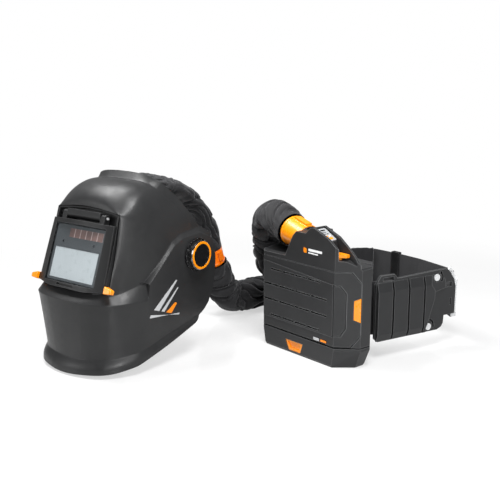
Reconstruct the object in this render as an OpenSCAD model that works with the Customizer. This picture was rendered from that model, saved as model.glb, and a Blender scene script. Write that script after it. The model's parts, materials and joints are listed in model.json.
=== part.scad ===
// Powered air respirator: a welding helmet with a flip-up lens, a belt-worn
// filter and fan unit, and the fabric-sleeved air hose that joins them.
// The frame stands on the flat base of the battery: +Z up, the front face of the
// fan unit looks along -Y. All sizes are in millimetres.

/* [Helmet] */
// Overall width of the helmet shell across the ears
helmet_w = 226; // [214:1:240]
// Wall thickness of the helmet shell
shell_wall = 3; // [2:0.25:4]
// Height of the raised lip along the upper edge of the shell
lip_h = 14; // [8:1:20]
// How far the helmet leans back as it lies on its bib
helmet_lean = 20; // [18:0.5:20]
// Turn of the helmet about the vertical
helmet_yaw = 12; // [5:1:20]

/* [Lens] */
// Width of the welding lens cartridge
lens_w = 110; // [104:1:114]
// Height of the welding lens cartridge
lens_h = 90; // [84:1:94]
// Thickness of the welding lens cartridge
lens_t = 9; // [8:0.5:10]
// Width of the clear viewing pane in the cartridge
pane_w = 100; // [90:1:102]
// Height of the clear viewing pane in the cartridge
pane_h = 49; // [44:1:50]
// Border of the flip-up frame beside the lens
frame_side = 16; // [14:0.5:16]
// Thickness of the clear cover plate
cover_plate_t = 1.5; // [1:0.25:2]
// Radius of the hinge pin of the flip-up frame
lens_pin_r = 2; // [1.5:0.25:2.5]

/* [Ear pivots] */
// Distance of the ear pivots behind the lens face
pivot_back = 157; // [152:1:160]
// Height of the ear pivots above the lens centre
pivot_up = 42; // [38:1:46]
// Radius of the pivot bolts
bolt_r = 5; // [4:0.5:6]
// Diameter of the side knobs
knob_d = 49; // [44:1:52]
// Diameter of the notched dial plates under the knobs
dial_d = 56; // [54:1:60]

/* [Headgear] */
// Width of the head band from side to side
band_w = 160; // [150:2:170]
// Length of the head band from brow to nape
band_l = 196; // [188:2:204]
// Height of the head band strip
band_h = 26; // [20:1:32]
// Diameter of the ratchet knob at the nape
ratchet_d = 38; // [30:1:44]

/* [Fan unit] */
// Width of the fan unit
unit_w = 230; // [216:2:240]
// Depth of the fan unit
unit_d = 75; // [70:1:85]
// Width of the flat front face between its chamfers
face_w = 168; // [156:2:176]
// Height of the battery that forms the base
battery_h = 34; // [30:1:40]
// Height of the shoulders of the housing above the ground
shoulder_z = 168; // [164:1:174]
// Height of the console peak above the ground
peak_z = 225; // [220:1:232]
// Wall thickness of the housing mouldings
wall = 2.5; // [2:0.25:3.5]

/* [Filter] */
// Width of the particle filter
filter_w = 138; // [126:2:142]
// Height of the particle filter
filter_h = 88; // [80:2:92]
// Thickness of the particle filter
filter_t = 20; // [16:1:22]
// Distance across the flats of one hexagonal cell of the filter grille
cell_w = 12; // [10:1:16]

/* [Fan] */
// Diameter of the impeller
impeller_d = 76; // [66:1:80]
// Width of the impeller blades along the axis
blade_w = 14; // [10:1:15]
// Number of impeller blades
blade_count = 13; // [9:1:17]
// Diameter of the fan motor
motor_d = 34; // [28:1:38]
// Radius of the motor shaft
shaft_r = 2; // [1.5:0.25:3]

/* [Hose] */
// Outer diameter of the sleeved hose
hose_d = 56; // [50:1:58]
// Outer diameter of the orange bayonet collars
collar_d = 50; // [46:1:52]
// Length of the collar at the helmet
collar_l = 30; // [26:1:32]
// Length of the collar at the fan unit
outlet_collar_l = 46; // [40:1:48]
// Bore of the hose sockets
socket_bore = 32; // [28:1:34]

/* [Belt] */
// Height of the ribbed belt wings
wing_h = 115; // [105:1:120]
// Thickness of the ribbed belt wings
wing_t = 5; // [4:0.5:6]
// Number of ribs on each wing
rib_count = 3; // [2:1:4]
// Thickness of the padded lining
pad_t = 9; // [7:1:11]
// Width of the band that closes the belt behind the wearer
webbing_w = 84; // [70:1:88]
// Thickness of that band
webbing_t = 3; // [2:0.5:4]

/* [Hidden] */

// Clearances: a running fit on a pin, a gap between mouldings, a cutting overlap
run_fit = 0.05;
gap = 0.3;
cut = 1;
$fn = 48;

// ---------------------------------------------------------------- helpers

function lerp(a, b, t) = a + (b - a) * t;
function unit(v) = v / norm(v);
function mirror_x(p) = [-p[0], p[1], p[2]];
function last(list) = list[len(list) - 1];

// A path with its inner corners rounded: ratio is how much of each side the
// rounding takes (0 to 0.5), steps the pieces per corner.
function round_path(p, ratio, steps) = concat(
    [p[0]],
    [for (i = [1 : len(p) - 2]) for (k = [0 : steps])
        let (t = k / steps,
             a = lerp(p[i], p[i - 1], ratio[i]),
             b = lerp(p[i], p[i + 1], ratio[i]))
        lerp(lerp(a, p[i], t), lerp(p[i], b, t), t)],
    [last(p)]);

// The same for a plan path, with the length taken from each side given in mm
function round_corners(p, length, steps) = concat(
    [p[0]],
    [for (i = [1 : len(p) - 2]) for (k = [0 : steps])
        let (t = k / steps,
             a = p[i] + length[i] * unit(p[i - 1] - p[i]),
             b = p[i] + length[i] * unit(p[i + 1] - p[i]))
        lerp(lerp(a, p[i], t), lerp(p[i], b, t), t)],
    [last(p)]);

// A smooth curve through hand-placed points (Catmull-Rom)
function spline_at(p, i, t) =
    let (a = p[max(i - 1, 0)], b = p[i], c = p[i + 1], d = p[min(i + 2, len(p) - 1)])
    0.5 * ((2 * b) + (c - a) * t + (2 * a - 5 * b + 4 * c - d) * t * t
        + (3 * b - a - 3 * c + d) * t * t * t);
function spline(p, steps) = concat(
    [for (i = [0 : len(p) - 2]) for (k = [0 : steps - 1]) spline_at(p, i, k / steps)],
    [last(p)]);

// Faces of a closed tube of `rings` rings with `sides` points each
function tube_faces(rings, sides) = concat(
    [[for (k = [sides - 1 : -1 : 0]) k]],
    [for (i = [0 : rings - 2]) for (k = [0 : sides - 1])
        let (a = i * sides + k, b = i * sides + (k + 1) % sides)
        each [[a, b, b + sides], [a, b + sides, a + sides]]],
    [[for (k = [0 : sides - 1]) (rings - 1) * sides + k]]);

// A tube swept along a path that keeps a steady side direction; half width and
// half height may change from ring to ring.
module sweep(path, half_w, half_h, side0, sides) {
    last_i = len(path) - 1;
    function along(i) = unit(path[min(i + 1, last_i)] - path[max(i - 1, 0)]);
    // the side direction of each ring, carried on from the ring before it
    frames = [for (i = 0, s = side0; i <= last_i;
                   i = i + 1, s = i <= last_i ? unit(s - (s * along(i)) * along(i)) : s)
                  unit(s - (s * along(i)) * along(i))];
    rings = [for (i = [0 : last_i])
        let (t = along(i), u = frames[i], v = cross(t, u))
        [for (k = [0 : sides - 1])
            let (a = 360 * k / sides)
            path[i] + half_w[i] * cos(a) * u + half_h[i] * sin(a) * v]];
    polyhedron([for (r = rings) each r], tube_faces(last_i + 1, sides), convexity = 10);
}

// Cylinder between two points
module rod(a, b, r) {
    d = b - a;
    translate(a)
        rotate([0, acos(d[2] / norm(d)), atan2(d[1], d[0])])
            cylinder(r = r, h = norm(d));
}

// A plate lying in the XZ plane, from y0 back to y1
module plate_y(y0, y1) {
    translate([0, y1, 0]) rotate([90, 0, 0]) linear_extrude(y1 - y0) children();
}

module box(lo, hi) {
    translate(lo) cube(hi - lo);
}

module rounded_rect(w, h, r) {
    for (x = [-1, 1]) for (y = [-1, 1])
        translate([x * (w / 2 - r), y * (h / 2 - r)]) circle(r);
    square([w - 2 * r, h], center = true);
    square([w, h - 2 * r], center = true);
}

// ---------------------------------------------------------------- fan unit sizes

face_y = -47.5;
back_y = face_y + unit_d;
side_y = face_y + 30.5;          // where the front chamfers meet the sides
rear_side_y = back_y - 22;       // where the rear chamfers start
split_y = back_y - 15;           // joint between the housing and its rear cover
seam = 2;                        // groove between the battery and the housing
base_z = battery_h + seam;
cover_lo = base_z + 1;
cover_hi = shoulder_z - 8;
console_x = -25;                 // foot of the slanted outlet face
peak_x = 30;
outlet_tilt = 12;                // slope of the outlet axis above the horizontal
outlet_turn = 8;                 // and its turn towards the wearer
outlet_y = -14;

plan = [
    [-face_w / 2, face_y], [face_w / 2, face_y], [unit_w / 2, side_y],
    [unit_w / 2, rear_side_y], [unit_w / 2 - 20, back_y],
    [-unit_w / 2 + 20, back_y], [-unit_w / 2, rear_side_y], [-unit_w / 2, side_y]];

module unit_plan(inset = 0) {
    offset(delta = -inset) polygon(plan);
}

// ---------------------------------------------------------------- blower housing

bay_w = filter_w + 4 * gap;
bay_h = filter_h + 4 * gap;
bay_z = (cover_lo + cover_hi) / 2;
bay_front = face_y + wall + 2 * gap;
screen_t = 2;                    // spark screen in front of the filter
filter_front = bay_front + screen_t + 2 * gap;
bay_back = filter_front + filter_t + gap;
fan_x = -8;
fan_z = bay_z;
fan_front = bay_back + wall;
fan_back = split_y;
scroll_r = impeller_d / 2 + 16;

// Outline of the top of the housing: shoulders, slanted outlet face and console ridge
console_outline = [
    [-unit_w / 2, base_z], [-unit_w / 2, shoulder_z - 4], [-unit_w / 2 + 6, shoulder_z - 1],
    [console_x, shoulder_z], [peak_x - 3, peak_z - 2], [peak_x + 5, peak_z],
    [peak_x + 38, peak_z - 13], [peak_x + 56, peak_z - 26],
    [peak_x + 72, shoulder_z + 18], [unit_w / 2 - 3, shoulder_z + 6],
    [unit_w / 2, shoulder_z], [unit_w / 2, base_z]];

// Floor of the console: the slanted display bed, a step and the button bed
display_a = [peak_x + 5, peak_z - 4];
display_b = [peak_x + 35, peak_z - 20];
button_floor = peak_z - 44;
console_floor = [
    [peak_x - 2, peak_z + 9], display_a, display_b,
    [peak_x + 36, button_floor], [peak_x + 66, button_floor - 3],
    [unit_w / 2 + 5, shoulder_z - 3], [unit_w / 2 + 5, peak_z + 9]];
console_depth = 29;                  // the console stands along the front only
console_front = face_y + 4;
console_back = face_y + console_depth - 4;

// Behind the console the housing is lower, with a tower round the outlet socket
tower_outline = [
    [-unit_w / 2, base_z], [-unit_w / 2, shoulder_z - 4], [-unit_w / 2 + 6, shoulder_z - 1],
    [console_x - 6, shoulder_z], [console_x + 12, peak_z - 20], [console_x + 20, peak_z - 12],
    [peak_x - 10, peak_z - 12], [peak_x - 2, peak_z - 38], [peak_x + 20, shoulder_z],
    [unit_w / 2 - 3, shoulder_z - 1], [unit_w / 2, shoulder_z - 4], [unit_w / 2, base_z]];

outlet_axis = [-cos(outlet_tilt) * cos(outlet_turn), cos(outlet_tilt) * sin(outlet_turn), sin(outlet_tilt)];
outlet_at = [console_x + 17, outlet_y, shoulder_z + 24];

module on_outlet() {
    translate(outlet_at) rotate([0, 0, -outlet_turn]) rotate([0, -90 + outlet_tilt, 0]) children();
}

module housing_solid() {
    intersection() {
        translate([0, 0, base_z]) linear_extrude(peak_z) unit_plan();
        union() {
            plate_y(face_y, face_y + console_depth) polygon(console_outline);
            plate_y(face_y, split_y - gap / 2) polygon(tower_outline);
        }
    }
}

// Outline of the filter cover seen from the front, its right end clipped twice
cover_seam = 0.9;
module cover_area(grow) {
    right = unit_w / 2 + grow;
    polygon([
        [-unit_w / 2 + 2 - 3 * grow, cover_lo - grow], [right - 12, cover_lo - grow], [right, cover_lo + 20],
        [right, cover_hi - 19], [right - 12, cover_hi + grow],
        [-unit_w / 2 + 2 - 3 * grow, cover_hi + grow]]);
}

// What the filter cover takes away from the front of the housing
module cover_space() {
    intersection() {
        plate_y(face_y - cut, side_y + gap) cover_area(cover_seam);
        translate([0, 0, base_z - cut]) linear_extrude(shoulder_z)
            difference() {
                square([2 * unit_w, 2 * unit_d], center = true);
                unit_plan(wall + gap);
            }
    }
}

// Hinge of the cover: knuckles shared between the housing and the cover
hinge_at = [-unit_w / 2 + 4, side_y + 4.5];
hinge_r = 3.8;
hinge_pin_r = 1.5;
hinge_pitch = (cover_hi - cover_lo) / 5;

module on_hinge(first) {
    for (i = [first : 2 : 4])
        translate([hinge_at[0], hinge_at[1], cover_lo + i * hinge_pitch + gap]) children();
}

// The latch sits on the right-hand chamfer: +X runs along it, -Y out of it
module on_latch() {
    translate([unit_w / 2, side_y, bay_z])
        rotate([0, 0, atan2(side_y - face_y, (unit_w - face_w) / 2)]) children();
}
latch_travel = 2;

module latch_shape(grow) {
    offset(delta = grow) polygon([[-12, -15.5], [-0.8, -20], [-0.8, 20], [-12, 15.5]]);
}

// Bay beside the fan for the control board
board_w = 36;
board_h = 70;
board_x = unit_w / 2 - 57;
board_y = split_y - 5;
board_z = cover_lo + 24;

// Hanging rails that the battery slides on
rail_x = 48;
rail_half = [4, 8];                  // half widths of the stem and of the head
rail_low = battery_h - 7;
rail_y = [face_y + 16, split_y - gap / 2];

module rail(grow) {
    for (s = [-1, 1]) translate([s * rail_x, 0, 0]) {
        box([-rail_half[0] - grow, rail_y[0] - grow, rail_low],
            [rail_half[0] + grow, rail_y[1], base_z + grow]);
        box([-rail_half[1] - grow, rail_y[0] - grow, rail_low - grow],
            [rail_half[1] + grow, rail_y[1], rail_low + 3 + grow]);
    }
}

module blower_housing() {
    color("#3a3c3e") {
        housing_body();
        // knuckles of the cover hinge, carried on webs from the housing
        on_hinge(1) difference() {
            union() {
                cylinder(r = hinge_r, h = hinge_pitch - 2 * gap);
                translate([0, -hinge_r, 0]) cube([8, 2 * hinge_r, hinge_pitch - 2 * gap]);
            }
            translate([0, 0, -cut]) cylinder(r = hinge_pin_r + run_fit, h = hinge_pitch + 2 * cut);
        }
        rail(0);
    }
}

module housing_body() {
    difference() {
        housing_solid();
        cover_space();
        plate_y(console_front, console_back) polygon(console_floor);
        // scooped shoulder below the hose
        translate([-unit_w, outlet_y, shoulder_z + 34]) rotate([0, 90, 0])
            cylinder(r = 40, h = unit_w + console_x - 4, $fn = 96);
        // filter bay
        box([-bay_w / 2, bay_front - cut, bay_z - bay_h / 2], [bay_w / 2, bay_back, bay_z + bay_h / 2]);
        // air inlet and fan chamber
        translate([fan_x, bay_back - cut, fan_z]) rotate([-90, 0, 0])
            cylinder(r = impeller_d / 2 - 12, h = wall + 2 * cut);
        translate([fan_x, fan_front, fan_z]) rotate([-90, 0, 0])
            cylinder(r = scroll_r + 6, h = fan_back - fan_front + cut);
        // room for the control board
        box([board_x - gap, board_y - gap, board_z - gap],
            [board_x + board_w + gap, split_y, board_z + board_h + gap]);
        // outlet passage, its socket bore and the scoop for the collar
        translate([console_x + 22, outlet_y, fan_z + 30])
            cylinder(r = socket_bore / 2, h = outlet_at[2] - fan_z - 30);
        on_outlet() translate([0, 0, -30]) cylinder(r = socket_bore / 2, h = 40);
        on_outlet() translate([0, 0, -socket_seat - gap]) cylinder(r = socket_r + gap, h = 60);
        on_outlet() translate([0, 0, gap]) cylinder(r = hose_d / 2 + 2, h = 130);
        // relief round the cover hinge
        translate([hinge_at[0], hinge_at[1], cover_lo - gap])
            cylinder(r = 6.4, h = cover_hi - cover_lo + 2 * gap);
        // pocket and guide bore behind the cover latch
        on_latch() {
            plate_y(-cut, wall + latch_travel + 2 * gap) latch_shape(1);
            translate([-6, 0, 0]) rotate([-90, 0, 0]) cylinder(r = 3 + run_fit, h = wall + 12);
        }
        // bore for the power button plunger
        translate([peak_x + 51, (console_front + console_back) / 2, button_floor - 12])
            cylinder(r = 3 + gap, h = 20);
    }
}

module rear_cover() {
    color("#323436")
    difference() {
        intersection() {
            translate([0, 0, base_z]) linear_extrude(shoulder_z - base_z) unit_plan();
            box([-unit_w, split_y + gap / 2, base_z], [unit_w, back_y, shoulder_z]);
        }
        // hollow behind the fan, ribbed by the walls that stay
        translate([0, 0, base_z + 6]) linear_extrude(shoulder_z - base_z - 12)
            difference() {
                unit_plan(wall);
                for (x = [-60, 60]) translate([x - 1.5, -unit_d]) square([3, 2 * unit_d]);
            }
        // screw holes of the belt bracket
        for (x = [-40, 40]) for (z = [-20, 20])
            translate([x, back_y - 6, bay_z + z]) rotate([-90, 0, 0]) cylinder(r = 2.1, h = 10);
    }
}

// ---------------------------------------------------------------- filter cover

slot_rows = 4;
slot_pitch = 27;
slot_h = 3;
panel_raise = 1.2;

// Groove that outlines the vent field and runs on round the right-hand chamfer
module panel_groove() {
    intersection() {
        plate_y(face_y - 5, side_y) difference() {
            polygon(vent_field(0));
            polygon(vent_field(1.3));
        }
        translate([0, 0, cover_lo]) linear_extrude(cover_hi - cover_lo) difference() {
            unit_plan(-5);
            unit_plan(0.9);
        }
    }
}
function vent_field(inset) = [
    [face_w / 2 - 4, cover_lo + 17 + inset], [face_w / 2 + 8 - inset, cover_lo + 17 + inset],
    [face_w / 2 + 14 - inset, cover_lo + 31], [face_w / 2 + 14 - inset, cover_hi - 34],
    [face_w / 2 + 7 - inset, cover_hi - 21 - inset], [face_w / 2 - 4, cover_hi - 21 - inset]];

module filter_cover() {
    color("#3d3f41")
    difference() {
        union() {
            // the shell: front face and both chamfers
            intersection() {
                translate([0, 0, cover_lo]) linear_extrude(cover_hi - cover_lo)
                    difference() {
                        unit_plan();
                        unit_plan(wall);
                    }
                plate_y(face_y - cut, side_y) cover_area(0);
            }
            // the raised vent panel
            plate_y(face_y - panel_raise, face_y + 0.5) polygon([
                [-face_w / 2 + 1, cover_lo + 16], [face_w / 2 - 2, cover_lo + 16],
                [face_w / 2 - 2, cover_hi - 20], [-face_w / 2 + 1, cover_hi - 8]]);
            // hinge knuckles
            on_hinge(0) {
                cylinder(r = hinge_r, h = hinge_pitch - 2 * gap);
                translate([-hinge_r + 0.3, -5.5, 0]) cube([2.6, 5.5, hinge_pitch - 2 * gap]);
            }
        }
        translate([hinge_at[0], hinge_at[1], 0]) cylinder(r = hinge_pin_r + run_fit, h = 2 * cover_hi);
        panel_groove();
        // rows of vent slots, each broken into short lengths
        for (row = [0 : slot_rows - 1])
            for (i = [0 : 3])
                let (long = row == 1 || row == 2, len0 = long ? 35 : 27,
                     x = (i - 1.5) * (len0 + 3) - 6)
                box([x - len0 / 2, face_y - 5, bay_z + (row - 1.5) * slot_pitch - slot_h / 2],
                    [x + len0 / 2, face_y + wall + cut, bay_z + (row - 1.5) * slot_pitch + slot_h / 2]);
        // opening for the latch, open towards the side of the unit
        on_latch() plate_y(-5, wall + 2 * cut) {
            latch_shape(0.6);
            translate([-4, -20.6]) square([9, 41.2]);
        }
    }
}

module cover_hinge_pin() {
    color("#8c8f92")
    translate([hinge_at[0], hinge_at[1], cover_lo + 1])
        cylinder(r = hinge_pin_r, h = cover_hi - cover_lo - 2);
}

module cover_latch() {
    color("#ff9a0a")
    on_latch() {
        plate_y(gap, wall) latch_shape(0);
        translate([-6, wall - 0.5, 0]) rotate([-90, 0, 0]) cylinder(r = 3, h = 8);
    }
}

// ---------------------------------------------------------------- filters

module hex_cells(w, h) {
    pitch = cell_w + 2;
    rows = floor(h / (pitch * 0.866));
    cols = floor(w / pitch);
    for (j = [0 : rows - 1]) for (i = [0 : cols - 1 - (j % 2)])
        translate([(i - (cols - 1) / 2 + (j % 2) / 2) * pitch, (j - (rows - 1) / 2) * pitch * 0.866])
            rotate(30) circle(r = cell_w / sqrt(3), $fn = 6);
}

module spark_screen() {
    color("#9a9ea2")
    translate([0, 0, bay_z])
    difference() {
        plate_y(bay_front + gap, bay_front + gap + screen_t) rounded_rect(filter_w, filter_h, 4);
        for (x = [-60 : 10 : 60]) for (z = [-36 : 9 : 36])
            box([x - 4, bay_front - cut, z - 3.4], [x + 4, bay_front + 5, z + 3.4]);
    }
}

module filter_frame() {
    color("#26282a")
    translate([0, 0, bay_z])
    difference() {
        plate_y(filter_front, filter_front + filter_t) rounded_rect(filter_w, filter_h, 5);
        plate_y(filter_front + 3, filter_front + filter_t + cut) rounded_rect(filter_w - 8, filter_h - 8, 2);
        plate_y(filter_front - cut, filter_front + 3 + cut) hex_cells(filter_w - 12, filter_h - 10);
    }
}

module filter_media() {
    color("#f2f2ee")
    translate([0, 0, bay_z])
        plate_y(filter_front + 3 + gap, filter_front + filter_t - 1)
            rounded_rect(filter_w - 8 - 2 * gap, filter_h - 8 - 2 * gap, 1.5);
}

// ---------------------------------------------------------------- fan

// Scroll outline: the radius grows with the angle
function scroll(r0, grow) = [for (a = [0 : 10 : 350]) (r0 + grow * a / 360) * [cos(a), sin(a)]];
volute_front = fan_front + gap;
volute_back = fan_back - 2;
shroud_r = impeller_d / 2;

module fan_volute() {
    color("#4a4d50")
    translate([fan_x, 0, fan_z])
    difference() {
        plate_y(volute_front, volute_back) polygon(scroll(shroud_r + 6, 12));
        plate_y(volute_front + wall, volute_back + cut) polygon(scroll(shroud_r + 6 - wall, 12));
        translate([0, volute_front - cut, 0]) rotate([-90, 0, 0])
            cylinder(r = shroud_r - 14, h = wall + 2 * cut);
        // outlet towards the hose passage
        translate([console_x + 22 - fan_x, outlet_y + 6, 30]) cylinder(r = 9, h = 60);
    }
}

impeller_y = volute_front + wall + 2;

module impeller() {
    color("#c8ccd0")
    translate([fan_x, impeller_y, fan_z]) rotate([-90, 0, 0])
    difference() {
        union() {
            translate([0, 0, blade_w]) cylinder(r = shroud_r, h = 2);
            cylinder(r = 9, h = blade_w + 2);
            difference() {
                cylinder(r = shroud_r, h = 1.5);
                translate([0, 0, -cut]) cylinder(r = shroud_r - 15, h = 1.5 + 2 * cut);
            }
            // backward-curved blades between the shroud and the back plate
            for (i = [0 : blade_count - 1])
                rotate(i * 360 / blade_count)
                    translate([0, 0, 0.5]) linear_extrude(blade_w)
                        intersection() {
                            translate([shroud_r * 0.5, shroud_r * 0.45])
                                difference() {
                                    circle(shroud_r * 0.66);
                                    circle(shroud_r * 0.66 - 1.2);
                                }
                            difference() {
                                circle(shroud_r - 1);
                                circle(shroud_r * 0.42);
                            }
                            translate([0, -shroud_r * 0.5]) square([shroud_r, shroud_r]);
                        }
        }
        translate([0, 0, -cut]) cylinder(r = shaft_r + run_fit, h = blade_w + 4 + cut);
    }
}

module fan_motor() {
    color("#6f7376")
    translate([fan_x, impeller_y, fan_z]) rotate([-90, 0, 0]) {
        translate([0, 0, 1]) cylinder(r = shaft_r, h = blade_w + 4);
        translate([0, 0, blade_w + 2 + gap + 0.5])
            cylinder(r = motor_d / 2, h = back_y - wall - impeller_y - blade_w - 2 - gap - 0.5 - gap);
    }
}

module control_board() {
    color("#1f6b3f")
    box([board_x, board_y, board_z], [board_x + board_w, board_y + 1.6, board_z + board_h]);
    for (z = [12, 36, 54])
        box([board_x + 8, board_y + 1.6, board_z + z], [board_x + 24, board_y + 4, board_z + z + 10]);
}

// ---------------------------------------------------------------- console

module on_display() {
    slope = atan2(display_b[1] - display_a[1], display_b[0] - display_a[0]);
    translate([display_a[0], (console_front + console_back) / 2, display_a[1]])
        rotate([0, -slope, 0]) children();
}
display_l = norm(display_b - display_a);
display_w = console_back - console_front;

module display_panel() {
    color("#15171a")
    on_display() translate([display_l / 2, 0, gap / 2])
        linear_extrude(1.6) rounded_rect(display_l - 3, display_w - 3, 2);
}

// The button pad: its front right edge runs with the chamfer of the housing
button_plan = [[-11, -9], [2, -9], [13, 2], [13, 8], [-11, 8]];

module power_button() {
    color("#ff9a0a")
    translate([peak_x + 51, (console_front + console_back) / 2, button_floor]) {
        translate([0, 0, 2]) linear_extrude(5) polygon(button_plan);
        translate([0, 0, -6]) cylinder(r = 3, h = 9);
    }
}

socket_r = socket_bore / 2 + 3;
socket_seat = 7;                     // depth of a socket in its bore
collar_gap = 4.2;                    // flange between a collar and its seat

module outlet_socket() {
    color("#2a2c2e")
    on_outlet()
    difference() {
        union() {
            translate([0, 0, -socket_seat])
                cylinder(r = socket_r, h = socket_seat + outlet_collar_l + collar_gap - 1);
            translate([0, 0, 2 * gap]) cylinder(r = collar_d / 2 - 1, h = collar_gap - 3 * gap);
        }
        translate([0, 0, -10]) cylinder(r = socket_bore / 2, h = 80);
    }
}

// A bayonet collar about +Z with a grip band, an L-shaped slot and a release tab
module bayonet_collar(long) {
    inner = socket_r + run_fit;
    difference() {
        union() {
            cylinder(r = collar_d / 2, h = long);
            translate([0, 0, long - 6]) cylinder(r = collar_d / 2 + 1, h = 4);
            for (a = [0, 180]) rotate(a) translate([collar_d / 2 - 2, -6, 3]) cube([5, 12, long - 12]);
        }
        translate([0, 0, -cut]) cylinder(r = inner, h = long + 2 * cut);
        for (a = [60, 240]) rotate(a) {
            translate([inner - 2, -2, -cut]) cube([20, 4, 14 + cut]);
            translate([inner - 2, -2, 10]) cube([20, 12, 4]);
        }
    }
}

module blower_collar() {
    color("#ff9a0a")
    on_outlet() translate([0, 0, collar_gap]) bayonet_collar(outlet_collar_l);
}

// ---------------------------------------------------------------- battery

latch_x = -8;
foot_plan = [
    [-face_w / 2 + 4, face_y + 0.5], [face_w / 2 - 4, face_y + 0.5], [unit_w / 2 - 9, side_y],
    [unit_w / 2 - 9, rear_side_y - 2], [unit_w / 2 - 26, back_y - 3],
    [-unit_w / 2 + 26, back_y - 3], [-unit_w / 2 + 9, rear_side_y - 2], [-unit_w / 2 + 9, side_y]];

module battery_outline() {
    // the case narrows towards the ground
    hull() {
        translate([0, 0, battery_h - 5]) linear_extrude(5) unit_plan();
        translate([0, 0, 4]) linear_extrude(1) polygon(foot_plan);
        linear_extrude(1) offset(delta = -2.5) polygon(foot_plan);
    }
}

cell_r = 10.3;
cells_y = [face_y + 19, back_y - 15];

module battery_case() {
    color("#37393b")
    difference() {
        battery_outline();
        // hollow for the cells
        box([-86.6, cells_y[0] - gap, 4], [86.6, cells_y[1] + gap, 4 + 2 * cell_r + 2 * gap]);
        // grooves for the rails of the housing, open to the back
        battery_grooves();
        // window for the latch and the bore of its guide pin
        plate_y(face_y - cut, face_y + 11) polygon(latch_outline(gap));
        translate([latch_x, face_y + 2, 14]) rotate([-90, 0, 0]) cylinder(r = 3 + run_fit, h = 16);
    }
}

module battery_grooves() {
    rail(gap);
    for (s = [-1, 1]) translate([s * rail_x, 0, 0]) {
        box([-rail_half[0] - gap, 0, rail_low], [rail_half[0] + gap, back_y + cut, base_z]);
        box([-rail_half[1] - gap, 0, rail_low - gap], [rail_half[1] + gap, back_y + cut, rail_low + 3 + gap]);
    }
}

function latch_outline(grow) = [
    [latch_x - 21 - grow, battery_h - 12 + grow], [latch_x + 21 + grow, battery_h - 12 + grow],
    [latch_x + 15 + grow, 5 - grow], [latch_x - 12 - grow, 5 - grow]];

module battery_latch() {
    color("#ff9a0a")
    difference() {
        union() {
            plate_y(face_y + 1, face_y + 8) polygon(latch_outline(0));
            translate([latch_x, face_y + 7, 14]) rotate([-90, 0, 0]) cylinder(r = 3, h = 8);
        }
        // thumb recess
        plate_y(face_y, face_y + 3) polygon([
            [latch_x - 16, battery_h - 15], [latch_x + 16, battery_h - 15],
            [latch_x + 12, 9], [latch_x - 9, 9]]);
    }
}

module battery_cells() {
    color("#3f6fa8")
    for (i = [0 : 7])
        translate([(i - 3.5) * 2 * (cell_r + gap / 2), cells_y[0], 4 + gap + cell_r])
            rotate([-90, 0, 0]) cylinder(r = cell_r, h = cells_y[1] - cells_y[0]);
}

// ---------------------------------------------------------------- belt

belt_z = 27;                         // lower edge of the wings
wing_top = belt_z + wing_h;
mid_belt = belt_z + wing_h / 2;
bracket_t = 5;
belt_y = back_y + gap + bracket_t + gap;   // front face of the padded lining
wing_a = [93, 37];                   // plan ends of the right wing
wing_b = [128, 205];
wing_c = [-118, 207];                // far end of the left wing
wing_gap = 0.25;

// Outline in plan of a strip that follows a path, from near to far on its left
function side_of(p, i) =
    let (d = unit(p[min(i + 1, len(p) - 1)] - p[max(i - 1, 0)])) [-d[1], d[0]];
function strip(p, near, far) = concat(
    [for (i = [0 : len(p) - 1]) p[i] + near * side_of(p, i)],
    [for (i = [len(p) - 1 : -1 : 0]) p[i] + far * side_of(p, i)]);
function part_of(p, from, to) = [for (i = [from : to]) p[i]];

// The whole loop in plan, outer face of the lining, from the right wing round
belt_corner = 5;                     // pieces per rounded corner
bar_at = [125, 213];                 // upright bar of the buckle
loop_y = 240;                        // the band at the back of the loop
loop_bow = 3;                        // and how far it bows out at its keeper
keeper_x = -34;
keeper_w = 18;
belt_line = round_corners(
    [lerp(wing_a, wing_b, 0.9), lerp(wing_a, wing_b, 0.2), [90, belt_y + 9], [66, belt_y],
     [-66, belt_y], [-90, belt_y + 9], lerp(mirror_x(wing_a), wing_c, 0.2), wing_c,
     [-96, loop_y], [keeper_x, loop_y + loop_bow], [24, loop_y], [98, loop_y - 16], bar_at - [7 + gap, 0]],
    [0, 9, 10, 9, 9, 10, 9, 14, 18, 20, 18, 8, 0], belt_corner);
function corner_end(i) = i * (belt_corner + 1);

module belt_bracket() {
    color("#2b2d2f")
    difference() {
        union() {
            box([-70, back_y + gap, mid_belt - 44], [70, back_y + gap + bracket_t, mid_belt + 44]);
            box([56, back_y + gap, belt_z - 10], [82, back_y + gap + bracket_t, mid_belt]);
        }
        for (x = [-40, 40]) for (z = [-20, 20])
            translate([x, back_y - 6, bay_z + z]) rotate([-90, 0, 0]) cylinder(r = 2.1, h = 20);
    }
}

module comfort_pad() {
    color("#1c1d1f")
    translate([0, 0, belt_z + 6]) linear_extrude(wing_h - 17)
        polygon(strip(part_of(belt_line, 0, corner_end(8)), 0, -pad_t));
}

// A ribbed wing along +X of its own frame, outer face towards -Y. The ribs fill the
// near part; a raised pad, the rivets and the buckle tab follow on the far part.
tab_l = 24;
rib_t = 5.5;
rib_groove = 3.5;
rivet_back = [59, 44];               // rivets before the end of the tab, low and high
rivet_z = [13, wing_h - 17];
tab_z = [28, wing_h - 38];
strap_slot_x = [14, 36];

// Cross-section shared by the ribs and the pad: [out of the plate, height]
rib_profile = [
    [0.5, 3], [-3, 3.5], [-rib_t, 15], [-rib_t, wing_h - 27],
    [-rib_t + 1.5, wing_h - 11.5], [0.5, wing_h - 11]];

module rib(from, to) {
    translate([from, -wing_t, 0]) rotate([90, 0, 90]) linear_extrude(to - from) polygon(rib_profile);
}

// Curved slot beside a rivet, wide side away from it
module crescent(from) {
    rotate([90, 0, 0]) linear_extrude(2 * wing_t + 2 * cut)
        intersection() {
            difference() {
                circle(r = 14);
                circle(r = 10.5);
            }
            rotate(from) square(14);
        }
}

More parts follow.
